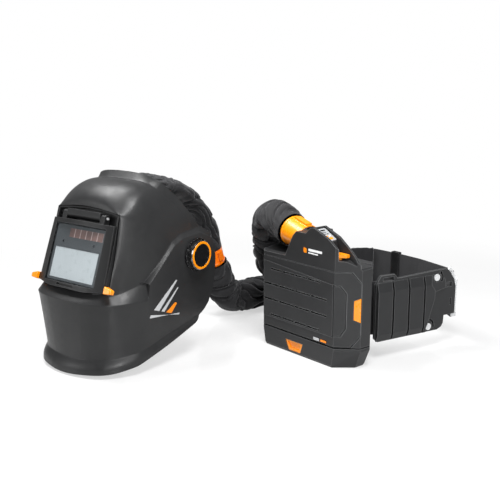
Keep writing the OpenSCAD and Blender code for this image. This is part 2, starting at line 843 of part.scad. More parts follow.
module wing_plate(long) {
    plate_l = long - tab_l;
    rotate([90, 0, 0]) linear_extrude(wing_t) polygon([
        [0, 8], [6, 2], [plate_l - 14, 4], [plate_l - 5, 8], [plate_l - 1, 14], [plate_l, tab_z[0]],
        [long, tab_z[0]], [long, tab_z[1]], [long - 4, wing_h - 25], [long - 14, wing_h - 10],
        [long - 20, wing_h - 5], [long - 33, wing_h - 4], [44, wing_h - 8], [38, wing_h],
        [10, wing_h], [4, wing_h - 8], [0, wing_h - 14]]);
}

module wing(long) {
    pad_from = long - 73;
    rib_pitch = pad_from / rib_count;
    difference() {
        union() {
            wing_plate(long);
            for (i = [0 : rib_count - 1])
                rib(2 + i * rib_pitch, 2 + (i + 1) * rib_pitch - rib_groove);
            // the raised pad beside the last rib, its free side cut on a slant
            intersection() {
                rib(pad_from + 2, long - 50);
                rotate([90, 0, 0]) linear_extrude(3 * wing_t) polygon([
                    [pad_from, 0], [long - 65, 0], [long - 64, 20], [long - 47, tab_z[1] - 4],
                    [long - 58, wing_h - 27], [long - 51, wing_h], [pad_from, wing_h]]);
            }
            // the low step between the pad and the tab
            rotate([90, 0, 0]) linear_extrude(wing_t + 2) polygon([
                [long - 58, wing_h - 27], [long - 47, tab_z[1] - 4], [long - 24, tab_z[1] + 1],
                [long - 26, wing_h - 22], [long - 34, wing_h - 12], [long - 52, wing_h - 11]]);
        }
        // slot for the shoulder strap
        translate([strap_slot_x[0], -20, wing_h - 10]) cube([strap_slot_x[1] - strap_slot_x[0], 40, 6]);
        // rivet holes, the seats of their heads and the slots beside them
        for (i = [0, 1]) translate([long - rivet_back[i], cut, rivet_z[i]]) {
            rotate([90, 0, 0]) cylinder(r = 3 + run_fit, h = wing_t + 2 * cut);
            translate([0, -wing_t - cut, 0]) rotate([90, 0, 0]) cylinder(r = 7.5, h = 10);
            crescent(i == 0 ? -15 : -40);
        }
        // the eye above the tab and the slot in the tab
        translate([long - 21, cut, tab_z[1] + 1]) rotate([90, 0, 0]) linear_extrude(2 * wing_t)
            square([12, 8]);
        translate([long - 12, cut, wing_h / 2 - 12]) rotate([90, 0, 0]) linear_extrude(wing_t + 2 * cut)
            square([3, 12]);
    }
}

module on_wing(a, b) {
    d = unit(b - a);
    translate([a[0], a[1], belt_z]) rotate([0, 0, atan2(d[1], d[0])]) translate([0, -wing_gap, 0]) children();
}

module wing_right() {
    color("#333537")
    on_wing(wing_a, wing_b) wing(norm(wing_b - wing_a));
}

module wing_left() {
    color("#333537")
    mirror([1, 0, 0]) on_wing(wing_a, mirror_x(wing_c)) wing(norm(mirror_x(wing_c) - wing_a));
}

module rivets(long) {
    for (i = [0, 1]) translate([long - rivet_back[i], 0, rivet_z[i]]) rotate([90, 0, 0]) {
        cylinder(r = 3, h = wing_t + 1);
        translate([0, 0, wing_t + 0.1]) cylinder(r = 6, h = 2);
    }
}

module wing_rivets() {
    color("#d5d8da") {
        on_wing(wing_a, wing_b) rivets(norm(wing_b - wing_a));
        mirror([1, 0, 0]) on_wing(wing_a, mirror_x(wing_c)) rivets(norm(mirror_x(wing_c) - wing_a));
    }
}

module belt_webbing() {
    color("#222426")
    translate([0, 0, mid_belt - webbing_w / 2]) linear_extrude(webbing_w)
        polygon(strip(part_of(belt_line, corner_end(7), len(belt_line) - 1), gap + webbing_t, gap));
}

// The keeper sits where the band rounds its bow, half a millimetre inside the corner
keeper_y = loop_y + loop_bow - 0.5 + gap + webbing_t / 2;
keeper_fit = gap + 0.1;
keeper_t = 2.5;

module belt_keeper() {
    color("#2b2d2f")
    translate([keeper_x, keeper_y, mid_belt])
    difference() {
        cube([keeper_w, webbing_t + 2 * (keeper_fit + keeper_t), webbing_w + 2 * (keeper_fit + keeper_t)],
            center = true);
        cube([2 * keeper_w, webbing_t + 2 * keeper_fit, webbing_w + 2 * keeper_fit], center = true);
    }
}

bar_r = 2.2;
bar_z = [46, 108];                   // ends of the buckle's upright bar
sleeve_z = [54.5, 100];              // and of the sleeve it turns in
sleeve_r = bar_r + 1.2;

module buckle_plate() {
    color("#c9ccce")
    difference() {
        union() {
            translate([bar_at[0], bar_at[1], sleeve_z[0]])
                cylinder(r = sleeve_r, h = sleeve_z[1] - sleeve_z[0]);
            box([bar_at[0] - 5, bar_at[1] + gap, sleeve_z[0] + 4],
                [bar_at[0], bar_at[1] + webbing_t, sleeve_z[1] - 4]);
        }
        translate([bar_at[0], bar_at[1], 0]) cylinder(r = bar_r + run_fit, h = 200);
    }
}

// Steel lever that turns on its upright bar: a flat arm leans up and back from the
// top of the bar, towards the wing, and a cap closes the lower end
module buckle_frame() {
    color("#dfe2e4")
    translate([bar_at[0], bar_at[1], 0]) {
        translate([0, 0, bar_z[0]]) cylinder(r = bar_r, h = bar_z[1] - bar_z[0]);
        rotate([0, 0, atan2(wing_a[1] - wing_b[1], wing_a[0] - wing_b[0])]) plate_y(-1.8, 1.8) {
            difference() {
                polygon([
                    [-3, sleeve_z[1] + 2 * gap], [4, sleeve_z[1] + 2 * gap], [4, bar_z[1]],
                    [19, bar_z[1] + 24], [13.5, bar_z[1] + 30], [-3, bar_z[1] + 5]]);
                translate([12.5, bar_z[1] + 21]) circle(r = 1.6);
            }
            translate([-4, bar_z[0]]) square([9, sleeve_z[0] - bar_z[0] - 2 * gap]);
        }
    }
}

// ---------------------------------------------------------------- hose

// Points the hose passes: out of the fan unit, down behind it, along the ground
hose_route = [
    [-75, -3, 207], [-104, 4, 217], [-132, 14, 212], [-156, 26, 186], [-170, 38, 151],
    [-175, 52, 122], [-177, 72, 94], [-175, 100, 62], [-180, 140, 36], [-206, 168, 29],
    [-238, 156, 29], [-258, 112, 29], [-257, 52, 29], [-261, 16, 34], [-263, -6, 62]];
hose_start = outlet_at + (collar_gap + outlet_collar_l + gap) * outlet_axis;

module hose() {
    color("#202123")
    let (hose_end = on_helmet_at(socket_at + (collar_gap + collar_l + gap) * socket_axis),
         end_axis = on_helmet_turn(socket_axis),
         path = concat([hose_start, hose_start + 6 * outlet_axis], spline(hose_route, 3),
             [hose_end + 8 * end_axis, hose_end]),
         size = [for (p = path) hose_d / 2])
        sweep(path, size, size, [0, 1, 0], 12);
}

// ---------------------------------------------------------------- helmet

helmet_at = [-187.5, -354.8, 188.8];   // centre of the lens face

module on_helmet() {
    translate(helmet_at) rotate([0, 0, helmet_yaw]) rotate([-helmet_lean, 0, 0]) children();
}
// The same placing for a direction and for a point
function on_helmet_turn(v) =
    let (y = v[1] * cos(helmet_lean) + v[2] * sin(helmet_lean),
         z = v[2] * cos(helmet_lean) - v[1] * sin(helmet_lean))
    [v[0] * cos(helmet_yaw) - y * sin(helmet_yaw), v[0] * sin(helmet_yaw) + y * cos(helmet_yaw), z];
function on_helmet_at(p) = helmet_at + on_helmet_turn(p);

// Half width and heights of the window opening
win_top_half = lens_w / 2 + 18;
win_low_half = win_top_half + 5;
win_top = lens_h / 2 + 29;
win_low = -lens_h / 2 - 5;
side_x = helmet_w / 2;

// Stations of the shell, from the bib rim up to the lip. Each row runs from the
// middle of the front, over the window corner, the cheek, both edges of the side
// crease and the ear, to the rear edge.
shell_rows = [
    [[0, 28, -188], [58, 38, -180], [82, 57, -172], [101, 85, -154], [105, 95, -146],
        [side_x - 2, 142, -110], [side_x - 1, 194, -70]],
    [[0, 22, -175], [60, 33, -169], [86, 53, -161], [103, 82, -143], [106, 93, -138],
        [side_x - 1, 140, -104], [side_x, 198, -63]],
    [[0, 34, -145], [56, 43, -144], [78, 60, -136], [97, 85, -123], [100, 95, -119],
        [side_x - 5, 138, -93], [side_x - 2, 203, -55]],
    [[0, 14, -115], [64, 25, -112], [89, 47, -104], [105, 78, -91], [106, 89, -88],
        [side_x - 3, 140, -68], [side_x - 1, 210, -45]],
    [[0, -10, -87], [72, 2, -78], [93, 31, -64], [108, 69, -46], [107, 81, -45], [side_x - 2, 140, -39],
        [side_x, 215, -30]],
    [[0, 2, win_low - 18], [win_low_half, 14, win_low], [95, 39, -33], [108, 60, -18], [107, 72, -19],
        [side_x, 138, -8], [side_x, 218, -5]],
    [[0, 2, 0], [win_top_half + 4, 14, 12], [95, 39, 14], [108, 69, 12], [107, 81, 10], [side_x, 136, 16],
        [side_x, 215, 15]],
    [[0, 2, win_top + 8], [win_top_half, 8, win_top], [91, 37, 60], [107, 79, 37], [106, 92, 33],
        [side_x, 136, 39], [side_x, 211, 37]],
    [[0, -4, 91], [70, 8, 87], [91, 39, 77], [106, 88, 55], [105, 99, 47], [side_x, 142, 52],
        [side_x, 206, 51]],
    [[0, 10, 118], [65, 21, 113], [87, 49, 101], [104, 101, 69], [104, 111, 61], [side_x - 2, 156, 64],
        [side_x - 1, 200, 62]],
    [[0, 39, 133], [60, 43, 132], [81, 70, 118], [102, 120, 82], [103, 130, 72], [side_x - 4, 168, 73],
        [side_x - 2, 194, 71]],
    [[0, 60, 138], [59, 62, 137], [81, 92, 123], [100, 138, 95], [102, 148, 84], [side_x - 6, 174, 80],
        [side_x - 4, 189, 78]],
    [[0, 66, 138 + lip_h], [62, 66, 137 + lip_h], [84, 98, 123 + lip_h], [102, 146, 89 + lip_h],
        [104, 158, 77 + lip_h], [side_x - 5, 175, 73 + lip_h], [side_x - 3, 184, 70 + lip_h]]];
row_round = [0, 0.45, 0.5, 0.4, 0.12, 0.05, 0.5, 0.06, 0.35, 0.5, 0.4, 0.3, 0];
side_round = [0.15, 0.4, 0.15, 0.15, 0.4];
col_round = concat([0], [for (i = [4 : -1 : 0]) side_round[i]], [0.5], side_round, [0]);
shell_steps = 2;

// The whole net, left ear to right ear, then rounded along and across
shell_net = [for (r = shell_rows) concat([for (i = [6 : -1 : 1]) mirror_x(r[i])], r)];
shell_cols = [for (j = [0 : 12]) round_path([for (r = shell_net) r[j]], row_round, shell_steps)];
shell_out = [for (i = [0 : len(shell_cols[0]) - 1])
    round_path([for (c = shell_cols) c[i]], col_round, shell_steps)];
rows_n = len(shell_out);
cols_n = len(shell_out[0]);

function shell_normal(i, j) =
    let (a = shell_out[min(i + 1, rows_n - 1)][j] - shell_out[max(i - 1, 0)][j],
         b = shell_out[i][min(j + 1, cols_n - 1)] - shell_out[i][max(j - 1, 0)])
    unit(cross(b, a));
shell_in = [for (i = [0 : rows_n - 1]) [for (j = [0 : cols_n - 1])
    shell_out[i][j] - shell_wall * shell_normal(i, j)]];

// Grid line through the middle of the rounding at a station
function station(i) = 1 + (i - 1) * (shell_steps + 1) + shell_steps / 2;
win_rows = [station(5), station(7)];
win_cols = [station(5), station(7)];
function in_window(i, j) = i >= win_rows[0] && i < win_rows[1] && j >= win_cols[0] && j < win_cols[1];

module shell_skin() {
    n = rows_n * cols_n;
    function id(i, j) = i * cols_n + j;
    function quad(a, b, c, d) = [[a, b, c], [a, c, d]];
    function wall_strip(l) = [for (k = [0 : len(l) - 2]) each quad(l[k], l[k + 1], n + l[k + 1], n + l[k])];
    skin = [for (i = [0 : rows_n - 2]) for (j = [0 : cols_n - 2]) if (!in_window(i, j))
        each concat(quad(id(i, j), id(i + 1, j), id(i + 1, j + 1), id(i, j + 1)),
                    quad(n + id(i, j), n + id(i, j + 1), n + id(i + 1, j + 1), n + id(i + 1, j)))];
    rim = concat([for (j = [0 : cols_n - 1]) id(0, j)], [for (i = [1 : rows_n - 1]) id(i, cols_n - 1)],
        [for (j = [cols_n - 2 : -1 : 0]) id(rows_n - 1, j)], [for (i = [rows_n - 2 : -1 : 0]) id(i, 0)]);
    window = concat([for (i = [win_rows[0] : win_rows[1]]) id(i, win_cols[0])],
        [for (j = [win_cols[0] + 1 : win_cols[1]]) id(win_rows[1], j)],
        [for (i = [win_rows[1] - 1 : -1 : win_rows[0]]) id(i, win_cols[1])],
        [for (j = [win_cols[1] - 1 : -1 : win_cols[0]]) id(win_rows[0], j)]);
    polyhedron(concat([for (r = shell_out) each r], [for (r = shell_in) each r]),
        concat(skin, wall_strip(rim), wall_strip(window)), convexity = 10);
}

hub_r = bolt_r + 3;                  // spigot of the dial plate in the shell

module helmet_shell() {
    color("#3c3e41")
    on_helmet()
    difference() {
        shell_skin();
        for (s = [-1, 1]) translate([s * (side_x - 15), pivot_back, pivot_up])
            rotate([0, s * 90, 0]) cylinder(r = hub_r + gap, h = 30);
    }
}

// ---------------------------------------------------------------- ear pivots

module on_ear(s) {
    on_helmet() translate([s * side_x, pivot_back, pivot_up]) rotate([0, s * 90, 0]) children();
}
dial_t = 3;

module side_dials() {
    color("#1b1c1e")
    for (s = [-1, 1]) on_ear(s)
        difference() {
            union() {
                translate([0, 0, gap]) cylinder(d = dial_d, h = dial_t);
                translate([0, 0, -shell_wall - 2]) cylinder(r = hub_r, h = shell_wall + 3);
            }
            translate([0, 0, -10]) cylinder(r = bolt_r + run_fit, h = 30);
            for (a = [0 : 20 : 340]) rotate(a) translate([dial_d / 2, 0, -cut]) cylinder(r = 1.6, h = 10);
        }
}

knob_from = gap + dial_t + gap;
knob_h = 9;

module knob() {
    difference() {
        union() {
            cylinder(d = knob_d, h = knob_h - 2);
            translate([0, 0, knob_h - 2 - 0.01]) cylinder(d1 = knob_d, d2 = knob_d - 4, h = 2);
        }
        // groove for the coloured ring and the dished centre
        translate([0, 0, knob_h - 3]) difference() {
            cylinder(d = knob_d - 3, h = 5);
            translate([0, 0, -cut]) cylinder(d = knob_d - 11, h = 8);
        }
        translate([0, 0, knob_h - 1]) cylinder(d = knob_d - 14, h = 3);
        translate([0, 0, -cut]) cylinder(r = bolt_r + run_fit, h = 6 + cut);
        for (a = [0 : 15 : 345]) rotate(a) translate([knob_d / 2 + 0.8, 0, -cut]) cylinder(r = 1.6, h = 6);
    }
}
module knob_right() { color("#161719") on_ear(1) translate([0, 0, knob_from]) knob(); }
module knob_left() { color("#161719") on_ear(-1) translate([0, 0, knob_from]) knob(); }

module knob_ring() {
    difference() {
        cylinder(d = knob_d - 3 - 2 * run_fit, h = 3.2);
        translate([0, 0, -cut]) cylinder(d = knob_d - 11 + 2 * run_fit, h = 6);
    }
}
module knob_ring_right() {
    color("#ff9a0a") on_ear(1)
        translate([0, 0, knob_from + knob_h - 3 + run_fit]) knob_ring();
}
module knob_ring_left() {
    color("#ff9a0a") on_ear(-1)
        translate([0, 0, knob_from + knob_h - 3 + run_fit]) knob_ring();
}

module pivot_bolts() {
    color("#2a2c2e")
    for (s = [-1, 1]) on_ear(s) {
        translate([0, 0, -shell_wall - 8]) cylinder(r = bolt_r, h = shell_wall + 8 + knob_from + 5.5);
        translate([0, 0, -shell_wall - 8]) cylinder(r = bolt_r + 5, h = 4);
    }
}

// ---------------------------------------------------------------- headgear

band_t = 2.5;
band_tilt = -15;                     // the nape sits lower than the brow
band_z = 58;
band_mid = 52 + band_l / 2;

function oval(w, l) = [for (a = [0 : 7.5 : 352.5]) [w / 2 * cos(a), l / 2 * sin(a)]];

module on_band() {
    on_helmet() translate([0, band_mid, band_z]) rotate([band_tilt, 0, 0]) children();
}

module head_band() {
    color("#2e3032")
    on_band() translate([0, 0, -band_h / 2]) linear_extrude(band_h)
        difference() {
            polygon(oval(band_w, band_l));
            polygon(oval(band_w - 2 * band_t, band_l - 2 * band_t));
        }
}

arm_from = band_w / 2 + gap;
arm_to = side_x - shell_wall - 8 - gap;

// Channel-shaped arms from the sides of the band out to the pivot bolts
module pivot_arms() {
    color("#2e3032")
    for (side = [0, 1]) on_helmet() mirror([side, 0, 0]) difference() {
        box([arm_from, pivot_back - 14, pivot_up - 12], [arm_to, pivot_back + 14, pivot_up + 12]);
        box([arm_from + 4, pivot_back - 20, pivot_up - 8], [arm_to - 4, pivot_back + 20, pivot_up + 20]);
    }
}

module crown_strap() {
    color("#26282a")
    on_band() translate([0, 6, band_h / 2 + gap])
        rotate([90, 0, 0]) linear_extrude(18)
            difference() {
                scale([1, 0.56]) circle(d = band_w);
                scale([1, 0.56]) circle(d = band_w - 4);
                translate([-band_w, -2 * band_w]) square([2 * band_w, 2 * band_w]);
            }
}

module brow_pad() {
    color("#3a3c40")
    on_band() translate([0, 0, -band_h / 2 - 2]) linear_extrude(band_h + 4)
        difference() {
            polygon(oval(band_w - 2 * band_t - 2 * gap, band_l - 2 * band_t - 2 * gap));
            polygon(oval(band_w - 2 * band_t - 14, band_l - 2 * band_t - 14));
            translate([-band_w, -band_l * 0.3]) square([2 * band_w, 2 * band_l]);
        }
}

module ratchet_housing() {
    color("#26282a")
    on_band() difference() {
        translate([-30, band_l / 2 + gap, -14]) cube([60, 9, 28]);
        translate([0, band_l / 2 + 1, 0]) rotate([-90, 0, 0]) cylinder(r = 4 + run_fit, h = 20);
    }
}

module ratchet_knob() {
    color("#1b1c1e")
    on_band() translate([0, band_l / 2 + 1.5, 0]) rotate([-90, 0, 0]) {
        cylinder(r = 4, h = 10);
        translate([0, 0, 8.2]) difference() {
            cylinder(d = ratchet_d, h = 12);
            for (a = [0 : 22.5 : 337.5]) rotate(a) translate([ratchet_d / 2 + 1, 0, -cut])
                cylinder(r = 2.5, h = 20);
        }
    }
}

// ---------------------------------------------------------------- lens unit

lens_back = 12.5;
flip_y = 7;                          // hinge line of the flip-up frame
flip_z = lens_h / 2 + 19;
block_w = 76;

// The window opening in the XZ plane, taken from the inner edge of the shell
window_edge = concat(
    [for (i = [win_rows[0] : win_rows[1]]) shell_in[i][win_cols[0]]],
    [for (j = [win_cols[0] + 1 : win_cols[1]]) shell_in[win_rows[1]][j]],
    [for (i = [win_rows[1] - 1 : -1 : win_rows[0]]) shell_in[i][win_cols[1]]],
    [for (j = [win_cols[1] - 1 : -1 : win_cols[0] + 1]) shell_in[win_rows[0]][j]]);
tray_front = 9;
tray_back = 21;

module window_area(inset) {
    offset(delta = -inset) polygon([for (p = window_edge) [p[0], p[2]]]);
}

// Shallow tray that fills the opening behind the flip-up frame
module window_frame() {
    color("#1e2022")
    on_helmet() difference() {
        plate_y(tray_front, tray_back) window_area(gap);
        plate_y(tray_front - cut, tray_back - 5) window_area(gap + 3);
        plate_y(0, 40) square([lens_w + 2, lens_h + 2], center = true);
    }
}

module hinge_block() {
    color("#2b2d2f")
    on_helmet() difference() {
        union() {
            translate([-block_w / 2, flip_y, flip_z]) rotate([0, 90, 0]) cylinder(r = 7, h = block_w);
            box([-block_w / 2, flip_y - 7, flip_z], [block_w / 2, tray_back - 5 - gap, flip_z + 7]);
        }
        translate([-block_w, flip_y, flip_z]) rotate([0, 90, 0])
            cylinder(r = lens_pin_r + run_fit, h = 2 * block_w);
    }
}

module hinge_pin() {
    color("#a8abad")
    on_helmet() translate([-block_w / 2 - 12, flip_y, flip_z]) rotate([0, 90, 0])
        cylinder(r = lens_pin_r, h = block_w + 24);
}

module inner_visor() {
    color([0.8, 0.9, 0.95, 0.4])
    on_helmet() plate_y(tray_back + gap, tray_back + 2) rounded_rect(lens_w + 12, lens_h + 12, 4);
}

arch_r = 235;
tab_x = lens_w / 2 + frame_side + 13.5;   // inner side of the lift tabs

frame_outline = [
    [-lens_w / 2 - frame_side - 3, -lens_h / 2 - 1], [-lens_w / 2 - frame_side - 3, -lens_h / 2 - 5],
    [-40, -lens_h / 2 - 10], [40, -lens_h / 2 - 10],
    [lens_w / 2 + frame_side + 3, -lens_h / 2 - 5], [lens_w / 2 + frame_side + 3, -lens_h / 2 - 1],
    [lens_w / 2 + frame_side + 1, 0], [lens_w / 2 + frame_side - 2, lens_h / 2 + 9],
    [-lens_w / 2 - frame_side + 2, lens_h / 2 + 9], [-lens_w / 2 - frame_side - 1, 0]];

module flip_frame() {
    color("#1a1b1d")
    on_helmet() difference() {
        union() {
            intersection() {
                union() {
                    plate_y(-12, tray_front - gap) polygon(frame_outline);
                    plate_y(-12, lens_back) square([lens_w + 8, lens_h + 8], center = true);
                    // arms of the lift tabs
                    box([-tab_x, -12, -lens_h / 2 - 4], [tab_x, tray_front - gap, -lens_h / 2 + 5]);
                }
                translate([0, arch_r - 6, -100]) cylinder(r = arch_r, h = 300, $fn = 96);
            }
            // outer ends of the arms, in front of the shell
            for (side = [0, 1]) mirror([side, 0, 0])
                box([win_low_half + 0.5, 5, -lens_h / 2 - 4], [tab_x, 12.5, -lens_h / 2 + 5]);
            // hinge knuckles
            for (s = [-1, 1]) translate([s * (block_w / 2 + gap + 5), flip_y, flip_z]) {
                rotate([0, 90, 0]) cylinder(r = 5.5, h = 10, center = true);
                translate([-5, -5.5, lens_h / 2 + 8 - flip_z]) cube([10, 11, flip_z - lens_h / 2 - 8]);
            }
        }
        for (s = [-1, 1]) translate([s * (block_w / 2 + gap + 5), flip_y, flip_z])
            rotate([0, 90, 0]) cylinder(r = lens_pin_r + run_fit, h = 20, center = true);
        // window for the cover plate, then the pocket for the cartridge
        box([-lens_w / 2 - 1.5 - gap, -20, -lens_h / 2 - 1.5 - gap],
            [lens_w / 2 + 1.5 + gap, 2.5, lens_h / 2 + 1.5 + gap]);
        box([-lens_w / 2 - gap, 0, -lens_h / 2 - gap], [lens_w / 2 + gap, 30, lens_h / 2 + gap]);
        // finger slot under the lens
        box([-20, -20, -lens_h / 2 - 6.5], [18, -2, -lens_h / 2 - 3.5]);
    }
}

module lift_tabs() {
    color("#ff9a0a")
    for (side = [0, 1]) on_helmet() mirror([side, 0, 0])
        box([tab_x, 2, -lens_h / 2 - 5.5], [tab_x + 15, 13, -lens_h / 2 + 6.5]);
}

module cover_plate() {
    color([0.75, 0.85, 0.9, 0.3])
    on_helmet() plate_y(0.9, 0.9 + cover_plate_t) square([lens_w + 3, lens_h + 3], center = true);
}

cart_y = 3.5;
pane_mid = -lens_h / 2 + 4 + pane_h / 2;
solar_w = 76;
solar_h = 14;
solar_x = 14;
solar_z = lens_h / 2 - 12;

module lens_cartridge() {
    color("#6c6f72")
    on_helmet() difference() {
        plate_y(cart_y, cart_y + lens_t) rounded_rect(lens_w, lens_h, 2);
        translate([0, 0, pane_mid]) box([-pane_w / 2, 0, -pane_h / 2], [pane_w / 2, cart_y + 3, pane_h / 2]);
        translate([0, 0, pane_mid]) box([-pane_w / 2 + 2, 0, -pane_h / 2 + 2],
            [pane_w / 2 - 2, 30, pane_h / 2 - 2]);
        box([solar_x - solar_w / 2 - run_fit, 0, solar_z - solar_h / 2 - run_fit],
            [solar_x + solar_w / 2 + run_fit, cart_y + 1, solar_z + solar_h / 2 + run_fit]);
        for (s = [-1, 1]) translate([s * 35, 0, 18]) rotate([-90, 0, 0])
            cylinder(r = 2 + run_fit, h = cart_y + 2);
        translate([-35, cart_y + lens_t - 4, 28]) rotate([-90, 0, 0]) cylinder(r = 2 + run_fit, h = 10);
    }
}

module lens_pane() {
    color([0.75, 0.8, 0.78, 0.8])
    on_helmet() translate([0, 0, pane_mid])
        plate_y(cart_y + 0.4, cart_y + 3 - run_fit) square([pane_w - 2 * run_fit, pane_h - 2 * run_fit],
            center = true);
}

module solar_cell() {
    color("#7a5a50")
    on_helmet() box([solar_x - solar_w / 2, cart_y, solar_z - solar_h / 2],
        [solar_x + solar_w / 2, cart_y + 1 - run_fit, solar_z + solar_h / 2]);
}

module light_sensors() {
    color("#0c0c0e")
    on_helmet() for (s = [-1, 1]) translate([s * 35, cart_y, 18]) rotate([-90, 0, 0])
        cylinder(r = 2, h = 2 - run_fit);
}

module shade_dial() {
    color("#1b1c1e")
    on_helmet() translate([-35, cart_y + lens_t - 3.5, 28]) rotate([-90, 0, 0]) {
        cylinder(r = 2, h = 5);
        translate([0, 0, 3.8]) cylinder(r = 8, h = 4);
    }
}

// ---------------------------------------------------------------- air duct

// Centre line of the fabric duct in the plane of symmetry, and its half sizes
duct_route = [[0, 88, 122], [0, 112, 137], [0, 156, 147], [0, 200, 144], [0, 238, 132], [0, 270, 114],
    [0, 300, 92], [0, 317, 75]];
duct_half_w = [44, 46, 46, 43, 38, 33, 28, 25];
duct_half_h = [12, 17, 18, 19, 21, 23, 25, 25];
duct_start = [0, 72 + gap, 116.5];
socket_axis = unit([0, 18, -24]);
socket_at = last(duct_route) + 8 * socket_axis;

module air_duct() {
    color("#1d1e20")
    on_helmet()
        sweep(concat([duct_start, duct_start + [0, 5, 0]], spline(duct_route, 3), [socket_at]),
            concat([44, 44], spline(duct_half_w, 3), [25]),
            concat([8, 8.5], spline(duct_half_h, 3), [25]), [1, 0, 0], 16);
}

module duct_nozzle() {
    color("#2b2d2f")
    on_helmet() difference() {
        union() {
            translate([-48, 0, 0]) rotate([90, 0, 90]) linear_extrude(96)
                polygon([[22, 102], [30, 101], [72, 108], [72, 124.6], [46, 124.6], [24, 107]]);
            for (s = [-1, 1]) translate([s * 34, 60, 123]) cylinder(r = 4, h = 10);
        }
        translate([-45, 0, 0]) rotate([90, 0, 90]) linear_extrude(90)
            polygon([[10, 99], [30, 103], [80, 111.3], [80, 122.5], [47, 122.5], [22, 104.5]]);
    }
}

module on_socket() {
    on_helmet() translate(socket_at) rotate([-180 + acos(-socket_axis[2]), 0, 0]) children();
}

module hose_socket() {
    color("#2a2c2e")
    on_socket() difference() {
        union() {
            translate([0, 0, gap]) cylinder(r = collar_d / 2, h = collar_gap - 2 * gap);
            translate([0, 0, gap]) cylinder(r = socket_r, h = collar_l + collar_gap - 1);
        }
        translate([0, 0, -cut]) cylinder(r = socket_bore / 2, h = 80);
    }
}

module helmet_collar() {
    color("#f07010")
    on_socket() translate([0, 0, collar_gap]) bayonet_collar(collar_l);
}

// ---------------------------------------------------------------- assembly

blower_housing();
rear_cover();
filter_cover();
cover_hinge_pin();
cover_latch();
spark_screen();
filter_frame();
filter_media();
fan_volute();
impeller();
fan_motor();
control_board();
display_panel();
power_button();
outlet_socket();
blower_collar();
battery_case();
battery_latch();
battery_cells();
belt_bracket();
comfort_pad();
wing_right();
wing_left();
wing_rivets();
belt_webbing();
belt_keeper();
buckle_plate();
buckle_frame();
hose();
helmet_collar();
hose_socket();
air_duct();
duct_nozzle();
helmet_shell();
window_frame();
hinge_block();
hinge_pin();
inner_visor();
flip_frame();
lift_tabs();
cover_plate();
lens_cartridge();
solar_cell();
lens_pane();
light_sensors();
shade_dial();
side_dials();
knob_right();
knob_left();
knob_ring_right();
knob_ring_left();
pivot_bolts();
pivot_arms();
head_band();
crown_strap();
brow_pad();
ratchet_housing();
ratchet_knob();
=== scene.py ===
"""Looks of the powered air respirator: welding helmet, sleeved hose, belt-worn fan unit.

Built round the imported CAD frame. Lengths are metres in the row frame unless a name or a docstring
says millimetres. Points of the helmet are first given in the helmet's own frame, in millimetres,
and turned into the row frame by H().
"""
import math

import bmesh
import bpy
import numpy as np
from mathutils import Matrix, Vector
from mathutils.bvhtree import BVHTree
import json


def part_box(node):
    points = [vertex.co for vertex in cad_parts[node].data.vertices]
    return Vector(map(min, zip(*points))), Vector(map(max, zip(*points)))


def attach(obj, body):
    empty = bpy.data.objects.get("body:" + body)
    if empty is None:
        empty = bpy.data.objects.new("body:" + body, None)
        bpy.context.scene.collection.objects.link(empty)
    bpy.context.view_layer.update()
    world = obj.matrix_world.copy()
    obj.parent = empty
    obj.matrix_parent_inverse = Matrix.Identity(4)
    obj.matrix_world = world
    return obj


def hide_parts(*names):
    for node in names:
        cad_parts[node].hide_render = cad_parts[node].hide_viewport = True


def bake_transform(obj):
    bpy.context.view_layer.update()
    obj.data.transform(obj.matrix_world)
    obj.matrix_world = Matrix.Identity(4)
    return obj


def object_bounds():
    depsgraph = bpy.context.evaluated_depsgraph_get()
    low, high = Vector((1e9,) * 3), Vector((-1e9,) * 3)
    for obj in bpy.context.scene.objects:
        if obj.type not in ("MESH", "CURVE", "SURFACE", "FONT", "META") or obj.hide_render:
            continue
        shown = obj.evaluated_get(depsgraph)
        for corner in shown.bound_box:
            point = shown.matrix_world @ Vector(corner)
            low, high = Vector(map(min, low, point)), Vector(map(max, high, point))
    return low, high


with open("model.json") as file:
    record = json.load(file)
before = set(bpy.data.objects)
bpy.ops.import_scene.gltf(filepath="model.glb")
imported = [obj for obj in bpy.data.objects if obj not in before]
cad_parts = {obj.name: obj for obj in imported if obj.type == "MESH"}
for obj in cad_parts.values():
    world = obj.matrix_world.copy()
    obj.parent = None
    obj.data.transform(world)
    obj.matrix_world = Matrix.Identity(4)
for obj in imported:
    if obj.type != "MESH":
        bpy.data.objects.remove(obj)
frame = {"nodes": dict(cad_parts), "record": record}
cad_lo, cad_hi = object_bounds()
RECORD = frame["record"]
BODY = {n: b for b, ns in RECORD["behaviour"]["bodies"].items() for n in ns}
SLOT = {s["node"]: s["material_slot"] for s in RECORD["subparts"]}
MM = 0.001


# ------------------------------------------------------------------ helpers

def unit(v):
    """The vector at length 1."""
    v = np.asarray(v, float)
    return v / np.linalg.norm(v)


def spline(points, steps):
    """Catmull-Rom curve through the points, steps pieces per span."""
    p = np.asarray(points, float)
    out = []
    for i in range(len(p) - 1):
        a, b, c, d = p[max(i - 1, 0)], p[i], p[i + 1], p[min(i + 2, len(p) - 1)]
        for t in np.arange(steps) / steps:
            out.append(0.5 * (2 * b + (c - a) * t + (2 * a - 5 * b + 4 * c - d) * t ** 2
                              + (3 * b - a - 3 * c + d) * t ** 3))
    out.append(p[-1])
    return np.array(out)


def resample(path, step):
    """The same line with points at equal distances."""
    path = np.asarray(path, float)
    d = np.r_[0, np.cumsum(np.linalg.norm(np.diff(path, axis=0), axis=1))]
    n = max(2, int(round(d[-1] / step)) + 1)
    t = np.linspace(0, d[-1], n)
    return np.stack([np.interp(t, d, path[:, k]) for k in range(3)], 1)


def smooth_line(path, rounds):
    """The line with each inner point moved towards its neighbours, rounds times."""
    path = np.array(path, float)
    for _ in range(rounds):
        path[1:-1] = path[1:-1] * 0.5 + (path[:-2] + path[2:]) * 0.25
    return path


